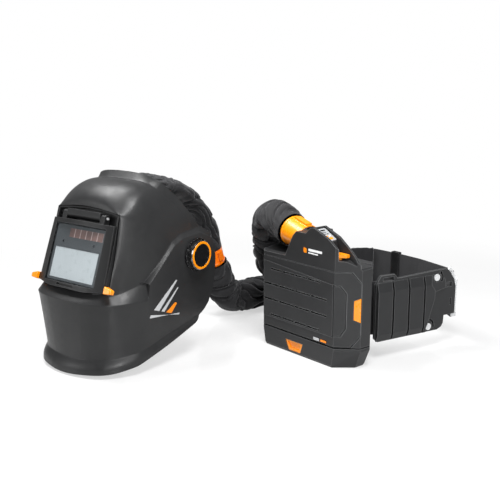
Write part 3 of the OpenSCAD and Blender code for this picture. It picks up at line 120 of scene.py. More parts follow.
def along(path):
    """Unit tangents of a path."""
    t = np.gradient(path, axis=0)
    return t / np.linalg.norm(t, axis=1, keepdims=True)


def frames(path, side0):
    """Side and up vectors carried along a path without twist."""
    t = along(path)
    s = np.asarray(side0, float)
    sides = []
    for k in range(len(path)):
        s = unit(s - (s @ t[k]) * t[k])
        sides.append(s)
    sides = np.array(sides)
    return t, sides, np.cross(t, sides)


def new_object(name, verts, faces, mats=(), smooth=True):
    """A linked mesh object from points, faces and materials."""
    mesh = bpy.data.meshes.new(name)
    mesh.from_pydata([tuple(v) for v in np.asarray(verts, float)], [], faces)
    mesh.update()
    ob = bpy.data.objects.new(name, mesh)
    bpy.context.scene.collection.objects.link(ob)
    for m in mats:
        ob.data.materials.append(m)
    if smooth:
        mesh.polygons.foreach_set("use_smooth", [True] * len(mesh.polygons))
    return ob


def add_uv(ob, uv):
    """uv: one (u, v) pair per vertex."""
    layer = ob.data.uv_layers.new(name="UVMap")
    idx = np.empty(len(ob.data.loops), int)
    ob.data.loops.foreach_get("vertex_index", idx)
    layer.data.foreach_set("uv", np.asarray(uv, np.float32)[idx].ravel())


def settle(ob, body, replaces=()):
    """The piece rides a body and stands for the CAD nodes in replaces."""
    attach(ob, body)
    if replaces:
        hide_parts(*replaces)
    return ob


def bevel(ob, width, segments=2, angle=35, harden=True):
    """Rounded edges wherever two faces meet at more than angle degrees."""
    m = ob.modifiers.new("bevel", "BEVEL")
    m.width = width
    m.segments = segments
    m.limit_method = "ANGLE"
    m.angle_limit = math.radians(angle)
    m.harden_normals = harden
    m.miter_outer = "MITER_ARC"


def bake_modifiers(ob):
    """The object's mesh becomes its evaluated mesh, and the modifiers go."""
    dg = bpy.context.evaluated_depsgraph_get()
    mesh = bpy.data.meshes.new_from_object(ob.evaluated_get(dg), depsgraph=dg)
    ob.modifiers.clear()
    ob.data = mesh
    return ob


# ------------------------------------------------------------------ placing of the helmet

HELMET_AT = np.array([-187.5, -354.8, 188.8])
YAW, LEAN = math.radians(12), math.radians(-20)
RZ = np.array([[math.cos(YAW), -math.sin(YAW), 0], [math.sin(YAW), math.cos(YAW), 0], [0, 0, 1]])
RX = np.array([[1, 0, 0], [0, math.cos(LEAN), -math.sin(LEAN)], [0, math.sin(LEAN), math.cos(LEAN)]])
TURN = RZ @ RX


def H(points):
    """Helmet frame in mm to row frame in m."""
    return (np.asarray(points, float) @ TURN.T + HELMET_AT) * MM


def HD(v):
    """Direction in the helmet frame to the row frame."""
    return np.asarray(v, float) @ TURN.T


# ------------------------------------------------------------------ camera

CAMERA_AT = Vector((0.9802, -0.9915, 0.496))
CAMERA_AZIMUTH, CAMERA_DOWN = math.radians(49.4), math.radians(13)
FOCAL_PX, FRAME_PX, SENSOR_MM = 850, 500, 36


def place_camera():
    """The photograph's view: seen from the front right, a little from above."""
    az, el = CAMERA_AZIMUTH, CAMERA_DOWN
    right = Vector((math.cos(az), math.sin(az), 0))
    look = Vector((-math.sin(az) * math.cos(el), math.cos(az) * math.cos(el), -math.sin(el)))
    up = right.cross(look)
    camera = bpy.data.objects.new("camera", bpy.data.cameras.new("camera"))
    bpy.context.scene.collection.objects.link(camera)
    camera.matrix_world = Matrix((
        (right.x, up.x, -look.x, CAMERA_AT.x),
        (right.y, up.y, -look.y, CAMERA_AT.y),
        (right.z, up.z, -look.z, CAMERA_AT.z),
        (0, 0, 0, 1)))
    camera.data.sensor_width = SENSOR_MM
    camera.data.lens = FOCAL_PX / FRAME_PX * SENSOR_MM
    bpy.context.scene.camera = camera


place_camera()


# ------------------------------------------------------------------ materials

class Nodes:
    """Small helper that builds a material's node tree."""

    def __init__(self, name):
        self.m = bpy.data.materials.new(name)
        self.m.use_nodes = True
        self.t = self.m.node_tree
        self.t.nodes.clear()
        self.out = self.t.nodes.new("ShaderNodeOutputMaterial")

    def n(self, kind, **values):
        """A node: _name=value sets a property, Name=value an input, with __ for a space."""
        node = self.t.nodes.new(kind)
        for k, v in values.items():
            if k.startswith("_"):
                setattr(node, k[1:], v)
            else:
                node.inputs[k.replace("__", " ")].default_value = v
        return node

    def link(self, a, b):
        self.t.links.new(a, b)

    def coords(self, kind="Object", scale=1.0):
        """Texture coordinates, scaled the same or differently along each axis."""
        tc = self.n("ShaderNodeTexCoord")
        mp = self.n("ShaderNodeMapping")
        mp.inputs["Scale"].default_value = (scale, scale, scale) if np.isscalar(scale) else scale
        self.link(tc.outputs[kind], mp.inputs["Vector"])
        return mp.outputs["Vector"]

    def noise(self, vec, scale, detail=3.0, rough=0.55):
        """Noise between 0 and 1."""
        n = self.n("ShaderNodeTexNoise", Scale=scale, Detail=detail, Roughness=rough)
        self.link(vec, n.inputs["Vector"])
        return n.outputs["Fac"]

    def ramp(self, fac, stops):
        """Colour ramp through (position, colour) stops."""
        r = self.n("ShaderNodeValToRGB")
        e = r.color_ramp.elements
        while len(e) < len(stops):
            e.new(0.5)
        for k, (pos, col) in enumerate(stops):
            e[k].position = pos
            e[k].color = col if len(col) == 4 else (*col, 1)
        self.link(fac, r.inputs["Fac"])
        return r.outputs["Color"]

    def span(self, fac, lo, hi, from_lo=0.0, from_hi=1.0):
        """fac from from_lo..from_hi to lo..hi, clamped."""
        r = self.n("ShaderNodeMapRange")
        r.inputs["From Min"].default_value = from_lo
        r.inputs["From Max"].default_value = from_hi
        r.inputs["To Min"].default_value = lo
        r.inputs["To Max"].default_value = hi
        self.link(fac, r.inputs["Value"])
        return r.outputs["Result"]

    def math(self, op, a, b=None):
        """Math node on numbers or sockets."""
        m = self.n("ShaderNodeMath", _operation=op)
        for k, v in enumerate((a, b)):
            if v is None:
                continue
            if isinstance(v, (int, float)):
                m.inputs[k].default_value = v
            else:
                self.link(v, m.inputs[k])
        return m.outputs["Value"]

    def mix(self, fac, a, b):
        """Colour a where fac is 0, colour b where it is 1."""
        m = self.n("ShaderNodeMix", _data_type="RGBA")
        for key, kind, v in (("Factor", "VALUE", fac), ("A", "RGBA", a), ("B", "RGBA", b)):
            sock = [s for s in m.inputs if s.name == key and s.type == kind][0]
            if isinstance(v, (int, float)):
                sock.default_value = v
            elif isinstance(v, tuple):
                sock.default_value = v if len(v) == 4 else (*v, 1)
            else:
                self.link(v, sock)
        return [s for s in m.outputs if s.type == "RGBA"][0]

    def edges(self, width_mm):
        """Two masks for painted light: 1 on sharp outer edges, where a highlight is painted, and 0 in the
        depth of seams and slots, where shade is painted.
        """
        rounded = self.n("ShaderNodeBevel", _samples=8, Radius=width_mm * MM)
        dot = self.n("ShaderNodeVectorMath", _operation="DOT_PRODUCT")
        self.link(rounded.outputs["Normal"], dot.inputs[0])
        self.link(self.n("ShaderNodeNewGeometry").outputs["True Normal"], dot.inputs[1])
        sharp = self.span(dot.outputs["Value"], 1, 0, 0.86, 0.99)
        open_sky = self.n("ShaderNodeAmbientOcclusion", _samples=8, Distance=0.005).outputs["AO"]
        return (self.math("MULTIPLY", sharp, self.span(open_sky, 0, 1, 0.72, 0.92)),
                self.span(open_sky, 0, 1, 0.30, 0.72))

    def bump(self, height, strength, distance, normal=None):
        """Normal of a bumped surface; distance in metres."""
        b = self.n("ShaderNodeBump", Strength=strength, Distance=distance)
        self.link(height, b.inputs["Height"])
        if normal is not None:
            self.link(normal, b.inputs["Normal"])
        return b.outputs["Normal"]

    def surface(self, **values):
        """Principled shader as the material's surface; numbers and colours go straight on its sockets."""
        p = self.n("ShaderNodeBsdfPrincipled")
        for k, v in values.items():
            sock = p.inputs[k.replace("__", " ")]
            if isinstance(v, (int, float)):
                sock.default_value = v
            elif isinstance(v, tuple):
                sock.default_value = v if len(v) == 4 or sock.type == "VECTOR" else (*v, 1)
            else:
                self.link(v, sock)
        self.link(p.outputs["BSDF"], self.out.inputs["Surface"])
        return self.m


def plastic(name, colour, rough, grain, grain_mm, vary, coat=0.0, spec=0.5, edge=None):
    """Moulded plastic: fine grain, slight clouding of colour and gloss; given an edge colour, a painted
    highlight in that colour on sharp outer edges and painted shade in seams and slots.
    """
    g = Nodes(name)
    vec = g.coords()
    cloud = g.noise(vec, 28, 4)
    dark = tuple(c * (1 - vary) for c in colour)
    light = tuple(min(1, c * (1 + vary)) for c in colour)
    base = g.ramp(cloud, [(0.3, dark), (0.7, light)])
    if edge:
        # painted highlight on sharp outer edges, and painted shade (a fifth of the colour) deep in seams and
        # slots
        outer, depth = g.edges(1.8)
        base = g.mix(depth, tuple(c * 0.2 for c in colour), g.mix(outer, base, edge))
    smear = g.noise(vec, 90, 5, 0.65)
    roughness = g.span(smear, rough - 0.07, rough + 0.07, 0.3, 0.7)
    fine = g.noise(vec, 1000 / grain_mm, 2)
    normal = g.bump(fine, grain, 0.0002)
    return g.surface(Base__Color=base, Roughness=roughness, Normal=normal,
                     Coat__Weight=coat, Coat__Roughness=0.2, Specular__IOR__Level=spec)


def fabric(name, colour, weave_mm, sheen, rough, uv=True, fuzz=0.0):
    """Woven cloth: crossing threads in UV metres (or object metres), soft sheen, slubs and lint."""
    g = Nodes(name)
    vec = g.coords("UV" if uv else "Object")
    sep = g.n("ShaderNodeSeparateXYZ")
    g.link(vec, sep.inputs[0])
    k = 2 * math.pi / (weave_mm * MM)
    a = g.math("SINE", g.math("MULTIPLY", sep.outputs[0], k))
    b = g.math("SINE", g.math("MULTIPLY", sep.outputs[1], k))
    weave = g.math("MULTIPLY", a, b)
    pos = g.coords()
    lint = g.noise(pos, 900, 4, 0.7)
    broad = g.noise(pos, 35, 4)
    dark = tuple(c * 0.65 for c in colour)
    light = tuple(c * 1.5 for c in colour)
    base = g.mix(g.span(broad, 0.25, 0.75, 0.3, 0.7), dark, light)
    base = g.mix(g.span(weave, 0.0, 0.35, -1, 1), base, tuple(c * 2.0 for c in colour))
    base = g.mix(g.span(lint, 0.0, 0.5 + fuzz, 0.62, 0.85), base, tuple(min(1, c * 4 + 0.01) for c in colour))
    n1 = g.bump(weave, 0.35, 0.0003)
    n2 = g.bump(lint, 0.25 + fuzz, 0.0006, n1)
    return g.surface(Base__Color=base, Roughness=g.span(lint, rough - 0.1, min(1, rough + 0.1), 0.3, 0.7),
                     Normal=n2, Sheen__Weight=sheen, Sheen__Roughness=0.45, Sheen__Tint=(0.7, 0.7, 0.72),
                     Specular__IOR__Level=0.25)


def metal(name, colour, rough):
    """Brushed metal: fine lines across the upright, lighter and darker spots."""
    g = Nodes(name)
    lines = g.noise(g.coords(scale=(1, 1, 40)), 60, 4, 0.7)
    spots = g.noise(g.coords(), 140, 5, 0.6)
    base = g.ramp(spots, [(0.3, tuple(c * 0.82 for c in colour)), (0.75, colour)])
    return g.surface(Base__Color=base, Metallic=0.45,
                     Roughness=g.span(lines, rough - 0.1, rough + 0.12, 0.3, 0.7),
                     Normal=g.bump(lines, 0.1, 0.0002))


def clear(name, tint, mirror=0.004, rough=0.03):
    """Clear sheet: mostly see-through, with a mirror part that grows at a slant."""
    g = Nodes(name)
    thin = g.n("ShaderNodeBsdfTransparent")
    thin.inputs[0].default_value = (*tint, 1)
    gloss = g.n("ShaderNodeBsdfGlossy")
    gloss.inputs["Color"].default_value = (1, 1, 1, 1)
    smear = g.noise(g.coords(), 60, 4)
    g.link(g.span(smear, rough, rough + 0.08, 0.4, 0.8), gloss.inputs["Roughness"])
    slant = g.n("ShaderNodeLayerWeight", Blend=0.3)
    front = g.math("SUBTRACT", 1, g.n("ShaderNodeNewGeometry").outputs["Backfacing"])
    fac = g.math("MULTIPLY", front, g.math("ADD", g.math("MULTIPLY", slant.outputs["Facing"], 0.025), mirror))
    mix = g.n("ShaderNodeMixShader")
    g.link(fac, mix.inputs[0])
    g.link(thin.outputs[0], mix.inputs[1])
    g.link(gloss.outputs[0], mix.inputs[2])
    g.link(mix.outputs[0], g.out.inputs["Surface"])
    return g.m


def striped(name, base, line, pitch_mm, width):
    """Printed cells: thin lines across a base colour, one every pitch_mm along the helmet's x."""
    g = Nodes(name)
    tc = g.n("ShaderNodeTexCoord")
    dot = g.n("ShaderNodeVectorMath", _operation="DOT_PRODUCT")
    g.link(tc.outputs["Object"], dot.inputs[0])
    dot.inputs[1].default_value = tuple(HD([1, 0, 0]))
    wave = g.math("SINE", g.math("MULTIPLY", dot.outputs["Value"], 2 * math.pi / (pitch_mm * MM)))
    cloud = g.noise(g.coords(), 45, 4)
    ground = g.ramp(cloud, [(0.3, tuple(c * 0.75 for c in base)), (0.7, tuple(c * 1.25 for c in base))])
    col = g.mix(g.span(wave, 0, 1, width - 0.05, width + 0.05), ground, line)
    return g.surface(Base__Color=col, Roughness=0.3, Coat__Weight=0.4, Coat__Roughness=0.1)


# colour, roughness, depth of the grain, its size in mm, clouding of the colour, and the extras of plastic()
PLASTICS = {
    "charcoal_shell": ((0.0205, 0.0208, 0.0215), 0.38, 0.08, 0.45, 0.10, {"spec": 0.28}),
    # black_moulding and unit_moulding carry an edge colour: a painted highlight on outer edges, with painted
    # shade in seams and slots
    "black_moulding": ((0.009, 0.0092, 0.0096), 0.4, 0.12, 0.7, 0.2,
                       {"spec": 0.3, "edge": (0.055, 0.056, 0.058)}),
    "unit_moulding": ((0.0235, 0.024, 0.025), 0.4, 0.08, 0.6, 0.10,
                      {"spec": 0.28, "edge": (0.13, 0.132, 0.135)}),
    "orange_plastic": ((1.0, 0.30, 0.002), 0.3, 0.05, 0.6, 0.05, {"coat": 0.25}),
    "deep_orange_plastic": ((0.95, 0.19, 0.003), 0.3, 0.05, 0.6, 0.06, {"coat": 0.25}),
    "cartridge_grey": ((0.052, 0.054, 0.057), 0.4, 0.08, 0.4, 0.08, {}),
    "pale_pane": ((0.50, 0.51, 0.51), 0.3, 0.02, 1.0, 0.03, {"coat": 0.5}),
    "sensor": ((0.006, 0.006, 0.008), 0.12, 0.0, 1.0, 0.1, {"coat": 0.6}),
    "filter_pleat": ((0.85, 0.85, 0.82), 0.8, 0.3, 1.2, 0.06, {}),
    "board": ((0.012, 0.11, 0.035), 0.4, 0.1, 0.8, 0.25, {}),
    "display": ((0.36, 0.37, 0.38), 0.3, 0.05, 0.5, 0.06, {"coat": 0.3}),
    "cell_wrap": ((0.03, 0.12, 0.4), 0.3, 0.05, 0.8, 0.15, {"coat": 0.3}),
    "gloss_black": ((0.006, 0.006, 0.0065), 0.12, 0.02, 0.8, 0.1, {"coat": 0.5}),
    "pale_print": ((0.52, 0.53, 0.54), 0.4, 0.02, 0.8, 0.06, {}),
    "white_print": ((0.85, 0.86, 0.86), 0.35, 0.02, 0.8, 0.04, {}),
    "orange_print": ((1.0, 0.27, 0.002), 0.35, 0.02, 0.8, 0.05, {}),
    "pale_plastic": ((0.62, 0.63, 0.64), 0.4, 0.08, 0.6, 0.05, {}),
}
M = {name: plastic(name, *values, **extras) for name, (*values, extras) in PLASTICS.items()}
M.update({
    "clear_plate": clear("clear_plate", (0.93, 0.95, 0.96)),
    "solar": striped("solar", (0.17, 0.085, 0.07), (0.5, 0.36, 0.33), 13, 0.93),
    "steel": metal("steel", (0.86, 0.87, 0.88), 0.3),
    "motor_metal": metal("motor_metal", (0.45, 0.46, 0.47), 0.4),
    "screen_wire": metal("screen_wire", (0.5, 0.51, 0.52), 0.4),
    "sleeve_fabric": fabric("sleeve_fabric", (0.011, 0.011, 0.012), 1.3, 0.2, 0.66),
    "pad_fabric": fabric("pad_fabric", (0.010, 0.010, 0.011), 2.2, 0.5, 0.95, uv=False, fuzz=0.6),
    "webbing": fabric("webbing", (0.018, 0.018, 0.019), 2.5, 0.25, 0.8, uv=False),
})


# ------------------------------------------------------------------ hose sleeve (a cord)

HOSE_D = 0.056
RING_GAP, SOCKET_DEPTH = 0.3, 4.2
OUTLET_RING, HELMET_RING = 46, 30
OUTLET_TILT, OUTLET_TURN = math.radians(12), math.radians(8)
OUTLET_AT = np.array([-8, -14, 192.0])
outlet_axis = np.array([-math.cos(OUTLET_TILT) * math.cos(OUTLET_TURN),
                        math.cos(OUTLET_TILT) * math.sin(OUTLET_TURN), math.sin(OUTLET_TILT)])
hose_start = OUTLET_AT + (SOCKET_DEPTH + OUTLET_RING + RING_GAP) * outlet_axis
HOSE_ROUTE = [
    [-75, -3, 207], [-104, 4, 217], [-132, 14, 212], [-156, 26, 186], [-170, 38, 151],
    [-175, 52, 122], [-177, 72, 94], [-175, 100, 62], [-180, 140, 36], [-206, 168, 29],
    [-238, 156, 29], [-258, 112, 29], [-257, 52, 29], [-261, 16, 34], [-263, -6, 62]]
socket_axis_h = unit([0, 18, -24])
SOCKET_AT_H = np.array([0, 317, 75.0]) + 8 * socket_axis_h
hose_end = H(SOCKET_AT_H + (SOCKET_DEPTH + HELMET_RING + RING_GAP) * socket_axis_h) / MM
end_axis = HD(socket_axis_h)

hose_line = np.vstack([[hose_start, hose_start + 6 * outlet_axis], spline(HOSE_ROUTE, 6),
                       [hose_end + 8 * end_axis, hose_end]]) * MM


def value_noise(shape_u, shape_v, u, v, seed):
    """Smooth random field on (u, v), v wrapping; cubic blending of random grid values."""
    g = np.random.default_rng(seed).uniform(-1, 1, (shape_u + 3, shape_v))
    uu, vv = np.clip(u, 0, 1) * shape_u, (v % 1.0) * shape_v
    i, j = np.floor(uu).astype(int), np.floor(vv).astype(int)
    fu, fv = uu - i, vv - j
    fu, fv = fu * fu * (3 - 2 * fu), fv * fv * (3 - 2 * fv)
    j0, j1 = j % shape_v, (j + 1) % shape_v
    return ((g[i, j0] * (1 - fu) + g[i + 1, j0] * fu) * (1 - fv)
            + (g[i, j1] * (1 - fu) + g[i + 1, j1] * fu) * fv)


def sharp_waves(phase, power, level):
    """Rounded hills with sharp valleys, one per unit of phase."""
    return np.abs(np.sin(math.pi * phase)) ** power - level


def cloth_folds(s, angle, total, inner, seed, pitch, slant, helix, fine_folds, lengthwise):
    """Fold heights at distance s and angle round a tube, their strength and the main folds' phase.

    inner is positive where the tube bends towards the point and the cloth bunches up.
    """
    u, v = s / total, angle / (2 * math.pi)
    rows = max(3, int(total / 0.045))
    half = max(2, rows // 2)
    warp = value_noise(rows, 4, u, v, seed) * 0.9 + value_noise(2 * rows, 7, u, v, seed + 1) * 0.35
    swirl = slant * value_noise(half, 1, u, v * 0, seed + 2)
    round_way = np.sin(angle + 2 * math.pi * value_noise(half, 1, u, v * 0, seed + 5))
    phase = s / pitch + warp + swirl * round_way * 3 + helix * np.sin(angle + 4 * u)
    rings = sharp_waves(phase, 0.55, 0.72)
    small_phase = s / (pitch * 0.55) + value_noise(2 * rows, 5, u, v, seed + 7) * 1.3 - round_way * 1.2
    small = sharp_waves(small_phase, 0.7, 0.64)
    strength = 0.8 + 0.4 * value_noise(2 * rows, 5, u, v, seed + 9)
    small_strength = np.clip(0.2 + 0.8 * value_noise(2 * rows, 6, u, v, seed + 11), 0, 1)
    fold = rings * strength * (1 + 1.1 * np.clip(inner, -0.5, 0.9)) + fine_folds * small * small_strength
    if lengthwise:
        ridge = sharp_waves(v * 7 + value_noise(rows, 6, u, v, seed + 13) * 1.0 + u * 1.5, 0.6, 0.7)
        ridge_strength = 0.7 + 0.5 * value_noise(rows, 5, u, v, seed + 15)
        fold = fold * (1 - lengthwise) + ridge * lengthwise * ridge_strength
    bulge = value_noise(rows, 3, u, v, seed + 17) * 0.35
    return fold + bulge, strength, phase


def folded_tube(name, path, half_w, half_h, side0, sides, depth, mats, seed, taper, floor=None, **folds):
    """A bunched cloth sleeve along a path, its folds up to about depth high and faded out at the ends."""
    path = np.asarray(path, float)
    t, s, up_v = frames(path, side0)
    d = np.r_[0, np.cumsum(np.linalg.norm(np.diff(path, axis=0), axis=1))]
    total = d[-1]
    around = np.linspace(0, 2 * math.pi, sides, endpoint=False)
    S, TH = np.meshgrid(d, around, indexing="ij")
    curve = np.gradient(t, axis=0) / np.maximum(np.gradient(d), 1e-9)[:, None]
    bend_s = (curve * s).sum(1)[:, None]
    bend_u = (curve * up_v).sum(1)[:, None]
    radius = np.asarray(half_w, float) * np.ones(len(path))
    inner = (bend_s * np.cos(TH) + bend_u * np.sin(TH)) * radius[:, None]
    height, strength, phase = cloth_folds(S, TH, total, inner, seed, **folds)
    fade = np.clip(np.minimum(S / taper[0], (total - S) / taper[1]), 0, 1)
    fade = fade * fade * (3 - 2 * fade)
    W = np.asarray(half_w, float).reshape(-1, 1) * np.ones_like(S)
    Hh = np.asarray(half_h, float).reshape(-1, 1) * np.ones_like(S)
    rad = np.hypot(W * np.cos(TH), Hh * np.sin(TH))
    scale = 1 + depth * height * fade / np.maximum(rad, 1e-6)
    lean = depth * 0.5 * np.cos(math.pi * phase) * strength * fade
    P = (path[:, None, :] + (W * np.cos(TH) * scale)[..., None] * s[:, None, :]
         + (Hh * np.sin(TH) * scale)[..., None] * up_v[:, None, :] + lean[..., None] * t[:, None, :])
    if floor is not None:
        soft = 4 * MM
        z = P[..., 2]
        P[..., 2] = np.where(z < floor + soft, floor + soft * np.exp((z - floor - soft) / soft), z)
    n, m = P.shape[:2]
    faces = [[i * m + k, i * m + (k + 1) % m, (i + 1) * m + (k + 1) % m, (i + 1) * m + k]
             for i in range(n - 1) for k in range(m)]
    ob = new_object(name, P.reshape(-1, 3), faces, mats)
    add_uv(ob, np.stack([S.ravel(), (TH * float(np.mean(rad))).ravel()], 1))
    return ob


hose_path = smooth_line(resample(hose_line, 0.0022), 12)
hose_radius = HOSE_D / 2 + 1 * MM
hose = folded_tube("hose_sleeve", hose_path, hose_radius, hose_radius, side0=[0, 1, 0], sides=130,
                   depth=0.0125, mats=[M["sleeve_fabric"]], seed=21, taper=(0.04, 0.02), floor=0.001,
                   pitch=0.027, slant=0.9, helix=0.9, fine_folds=0.4, lengthwise=0)
settle(hose, "unit", ["hose"])


# ------------------------------------------------------------------ CAD nodes that keep their shape

BEVEL = {
    "blower_housing": 1.8, "rear_cover": 2.2, "filter_cover": 0.9, "cover_latch": 0.7, "battery_case": 1.4,
    "battery_latch": 0.8, "power_button": 1.0, "wing_right": 0.8, "wing_left": 0.8, "belt_bracket": 1.0,
    "blower_collar": 0.9, "helmet_collar": 0.9, "outlet_socket": 0.5, "hose_socket": 0.6, "belt_keeper": 1.0,
    "wing_rivets": 0.8, "buckle_frame": 0.9, "buckle_plate": 0.8, "window_frame": 0.6, "hinge_block": 1.0,
    "flip_frame": 0.8, "lens_cartridge": 0.4, "side_dials": 0.4, "knob_right": 0.7,
    "knob_left": 0.7, "knob_ring_right": 0.4, "knob_ring_left": 0.4, "pivot_arms": 0.8, "pivot_bolts": 0.6,
    "head_band": 0.6, "crown_strap": 0.5, "ratchet_housing": 1.2, "ratchet_knob": 0.9, "duct_nozzle": 0.8,
    "display_panel": 0.4, "shade_dial": 0.8, "cover_plate": 0.2, "inner_visor": 0.3, "filter_frame": 0.4,
    "belt_webbing": 0.6,
}
REBUILT = {"hose", "helmet_shell", "air_duct", "comfort_pad", "brow_pad", "lift_tabs"}
FACETED = {"wing_right", "wing_left", "blower_housing", "filter_cover", "rear_cover", "battery_case",
           "cover_latch", "battery_latch"}
FINISH = {"knob_right": "gloss_black", "knob_left": "gloss_black", "side_dials": "gloss_black"}

# the belt wings seen from above, in mm: start and end of the middle line, and the side that is outside
WING_LINE = {"wing_right": ((93, 37), (128, 205), 1), "wing_left": ((-93, 37), (-118, 207), -1)}
WING_FACE = 5.25
RIDGES = [(129, 132, 0.30), (29, 33, 0.35)]


def steeper_facets(bm, start, end, sign):
    """The ribs' upper and lower facets lean back further than on the plain CAD ribs."""
    along_wing = unit(np.array(end, float) - start)
    out = np.array([along_wing[1], -along_wing[0]]) * sign
    for v in bm.verts:
        x, y, z = np.array(v.co) / MM
        proud = (np.array([x, y]) - start) @ out - WING_FACE
        kept = [share for low, high, share in RIDGES if low < z < high]
        if proud >= 0.6 and kept:
            v.co.x -= out[0] * proud * (1 - kept[0]) * MM
            v.co.y -= out[1] * proud * (1 - kept[0]) * MM


def recast(node, width_mm, segments=2):
    """The CAD node's shape with softened edges and even shading on its flat faces."""
    angle = 7 if node in FACETED else 32
    source = frame["nodes"][node]
    bm = bmesh.new()
    bm.from_mesh(source.data)
    bmesh.ops.remove_doubles(bm, verts=bm.verts, dist=2e-6)
    if node in WING_LINE:
        steeper_facets(bm, *WING_LINE[node])
    mesh = bpy.data.meshes.new("fine_" + node)
    bm.to_mesh(mesh)
    bm.free()
    mesh.polygons.foreach_set("use_smooth", [True] * len(mesh.polygons))
    ob = bpy.data.objects.new("fine_" + node, mesh)
    bpy.context.scene.collection.objects.link(ob)
    mesh.materials.append(M[FINISH.get(node, SLOT[node])])
    bevel(ob, width_mm * MM, segments, angle, harden=False)
    even = ob.modifiers.new("even", "WEIGHTED_NORMAL")
    even.mode = "FACE_AREA"
    even.weight = 90
    settle(ob, BODY[node], [node])


for node, ob in frame["nodes"].items():
    if node in REBUILT:
        continue
    if node in BEVEL:
        recast(node, BEVEL[node])
    else:
        ob.data.materials.clear()
        ob.data.materials.append(M[SLOT[node]])


# ------------------------------------------------------------------ helmet shell

LENS_W, LENS_H = 110, 90
HELMET_W, LIP_H = 226.0, 14.0
SX = HELMET_W / 2
# the window opening: half widths above and below, top and bottom edge
WTH, WLH = LENS_W / 2 + 18, LENS_W / 2 + 23
WT, WL = LENS_H / 2 + 29, -LENS_H / 2 - 5
# stations of the right half, from the rim at the chin up to the lip; each runs from the middle to the back
ROWS = [
    [[0, 28, -188], [58, 38, -180], [82, 57, -172], [101, 85, -154], [105, 95, -146], [SX - 2, 142, -110],
     [SX - 1, 194, -70]],
    [[0, 22, -175], [60, 33, -169], [86, 53, -161], [103, 82, -143], [106, 93, -138], [SX - 1, 140, -104],
     [SX, 198, -63]],
    [[0, 30, -163], [57, 40, -157], [80, 58, -149], [98, 84, -133], [102, 94, -127], [SX - 8, 139, -95],
     [SX - 4, 203, -55]],
    [[0, 9, -112], [66, 20, -110], [90, 45, -101], [106, 77, -88], [107, 89, -85], [SX - 3, 140, -68],
     [SX - 2, 210, -45]],
    [[0, -9, -73], [73, 3, -71], [95, 31, -62], [109, 69, -46], [109, 81, -42], [SX - 2, 140, -36],
     [SX, 215, -30]],
    [[0, 3, WL - 10], [WLH, 14, WL], [95, 39, -36], [107, 62, -20], [109, 74, -19], [SX, 138, -8],
     [SX, 218, -5]],
    [[0, 2, 0], [WTH + 4, 14, 12], [95, 39, 14], [107, 69, 12], [109, 81, 10], [SX, 136, 16], [SX, 215, 15]],
    [[0, 2, WT + 8], [WTH, 8, WT], [91, 37, 60], [106, 79, 37], [108, 92, 33], [SX, 136, 39], [SX, 211, 37]],
    [[0, -4, 91], [70, 8, 87], [91, 39, 77], [106, 88, 55], [108, 99, 47], [SX, 142, 52], [SX, 206, 51]],
    [[0, 10, 118], [65, 21, 113], [87, 49, 101], [104, 101, 69], [106, 111, 61], [SX - 2, 156, 64],
     [SX - 1, 200, 62]],
    [[0, 39, 133], [60, 43, 132], [81, 70, 118], [102, 120, 82], [104, 130, 72], [SX - 4, 168, 73],
     [SX - 2, 194, 71]],
    [[0, 60, 138], [59, 62, 137], [81, 92, 123], [100, 138, 95], [102, 148, 84], [SX - 6, 174, 80],
     [SX - 4, 189, 78]],
    [[0, 66, 139 + LIP_H], [60, 67, 135 + LIP_H], [82, 98, 120 + LIP_H], [102, 146, 88 + LIP_H],
     [104, 158, 77 + LIP_H], [SX - 5, 175, 73 + LIP_H], [SX - 3, 184, 70 + LIP_H]]]
ROW_ROUND = [0, 0.45, 0.1, 0.48, 0.08, 0.05, 0.48, 0.06, 0.45, 0.48, 0.4, 0.15, 0]
CRISP_SIDE = [0.12, 0.45, 0.48, 0.48, 0.45]
SOFT_SIDE = [0.48, 0.48, 0.48, 0.48, 0.48]
STEPS, STRAIGHT = 8, 3
LONGEST_CELL = 2.4
SHELL_WALL = 3.0
WINDOW_ROWS, WINDOW_COLS = (5, 7), (5, 7)


def round_path(p, ratio, steps, straight=2):
    """Corners rounded with parabolas; straight is how many pieces join the roundings."""
    p = np.asarray(p, float)
    out = [p[0]]
    for i in range(1, len(p) - 1):
        a = p[i] + (p[i - 1] - p[i]) * ratio[i]
        b = p[i] + (p[i + 1] - p[i]) * ratio[i]
        prev = out[-1]
        for k in range(1, straight):
            out.append(prev + (a - prev) * k / straight)
        for k in range(steps + 1):
            t = k / steps
            x, y = a + (p[i] - a) * t, p[i] + (b - p[i]) * t
            out.append(x + (y - x) * t)
    prev = out[-1]
    for k in range(1, straight):
        out.append(prev + (p[-1] - prev) * k / straight)
    out.append(p[-1])
    return np.array(out)


def station(i):
    """Grid line through the middle of the rounding at a station."""
    return STRAIGHT + (i - 1) * (STEPS + STRAIGHT) + STEPS // 2


def soft_share(row):
    """0 beside the window, 1 on the bib and the forehead."""
    at = np.interp(row, [station(4), station(5), station(7), station(8)], [1, 0, 0, 1])
    return at * at * (3 - 2 * at)


def cross_row(cells, row):
    """One row of the net, its corners crisp beside the window and soft above and below."""
    f = soft_share(row)
    side = [a * (1 - f) + b * f for a, b in zip(CRISP_SIDE, SOFT_SIDE)]
    return round_path(cells, [0] + side[::-1] + [0.5] + side + [0], STEPS, STRAIGHT)


def refine(grid, longest):
    """Cells split along both ways until none is longer; the grid lines of before stay."""
    for axis in (0, 1):
        g = np.moveaxis(grid, axis, 0)
        size = np.linalg.norm(np.diff(g, axis=0), axis=2).max(axis=1)
        parts = []
        for k in range(len(g) - 1):
            n = max(1, int(math.ceil(size[k] / longest)))
            parts += [g[k] + (g[k + 1] - g[k]) * t / n for t in range(n)]
        grid = np.moveaxis(np.array(parts + [g[-1]]), 0, axis)
        starts = np.r_[0, np.cumsum([max(1, int(math.ceil(v / longest))) for v in size])]
        if axis == 0:
            row_at = starts
        else:
            col_at = starts
    return grid, row_at, col_at


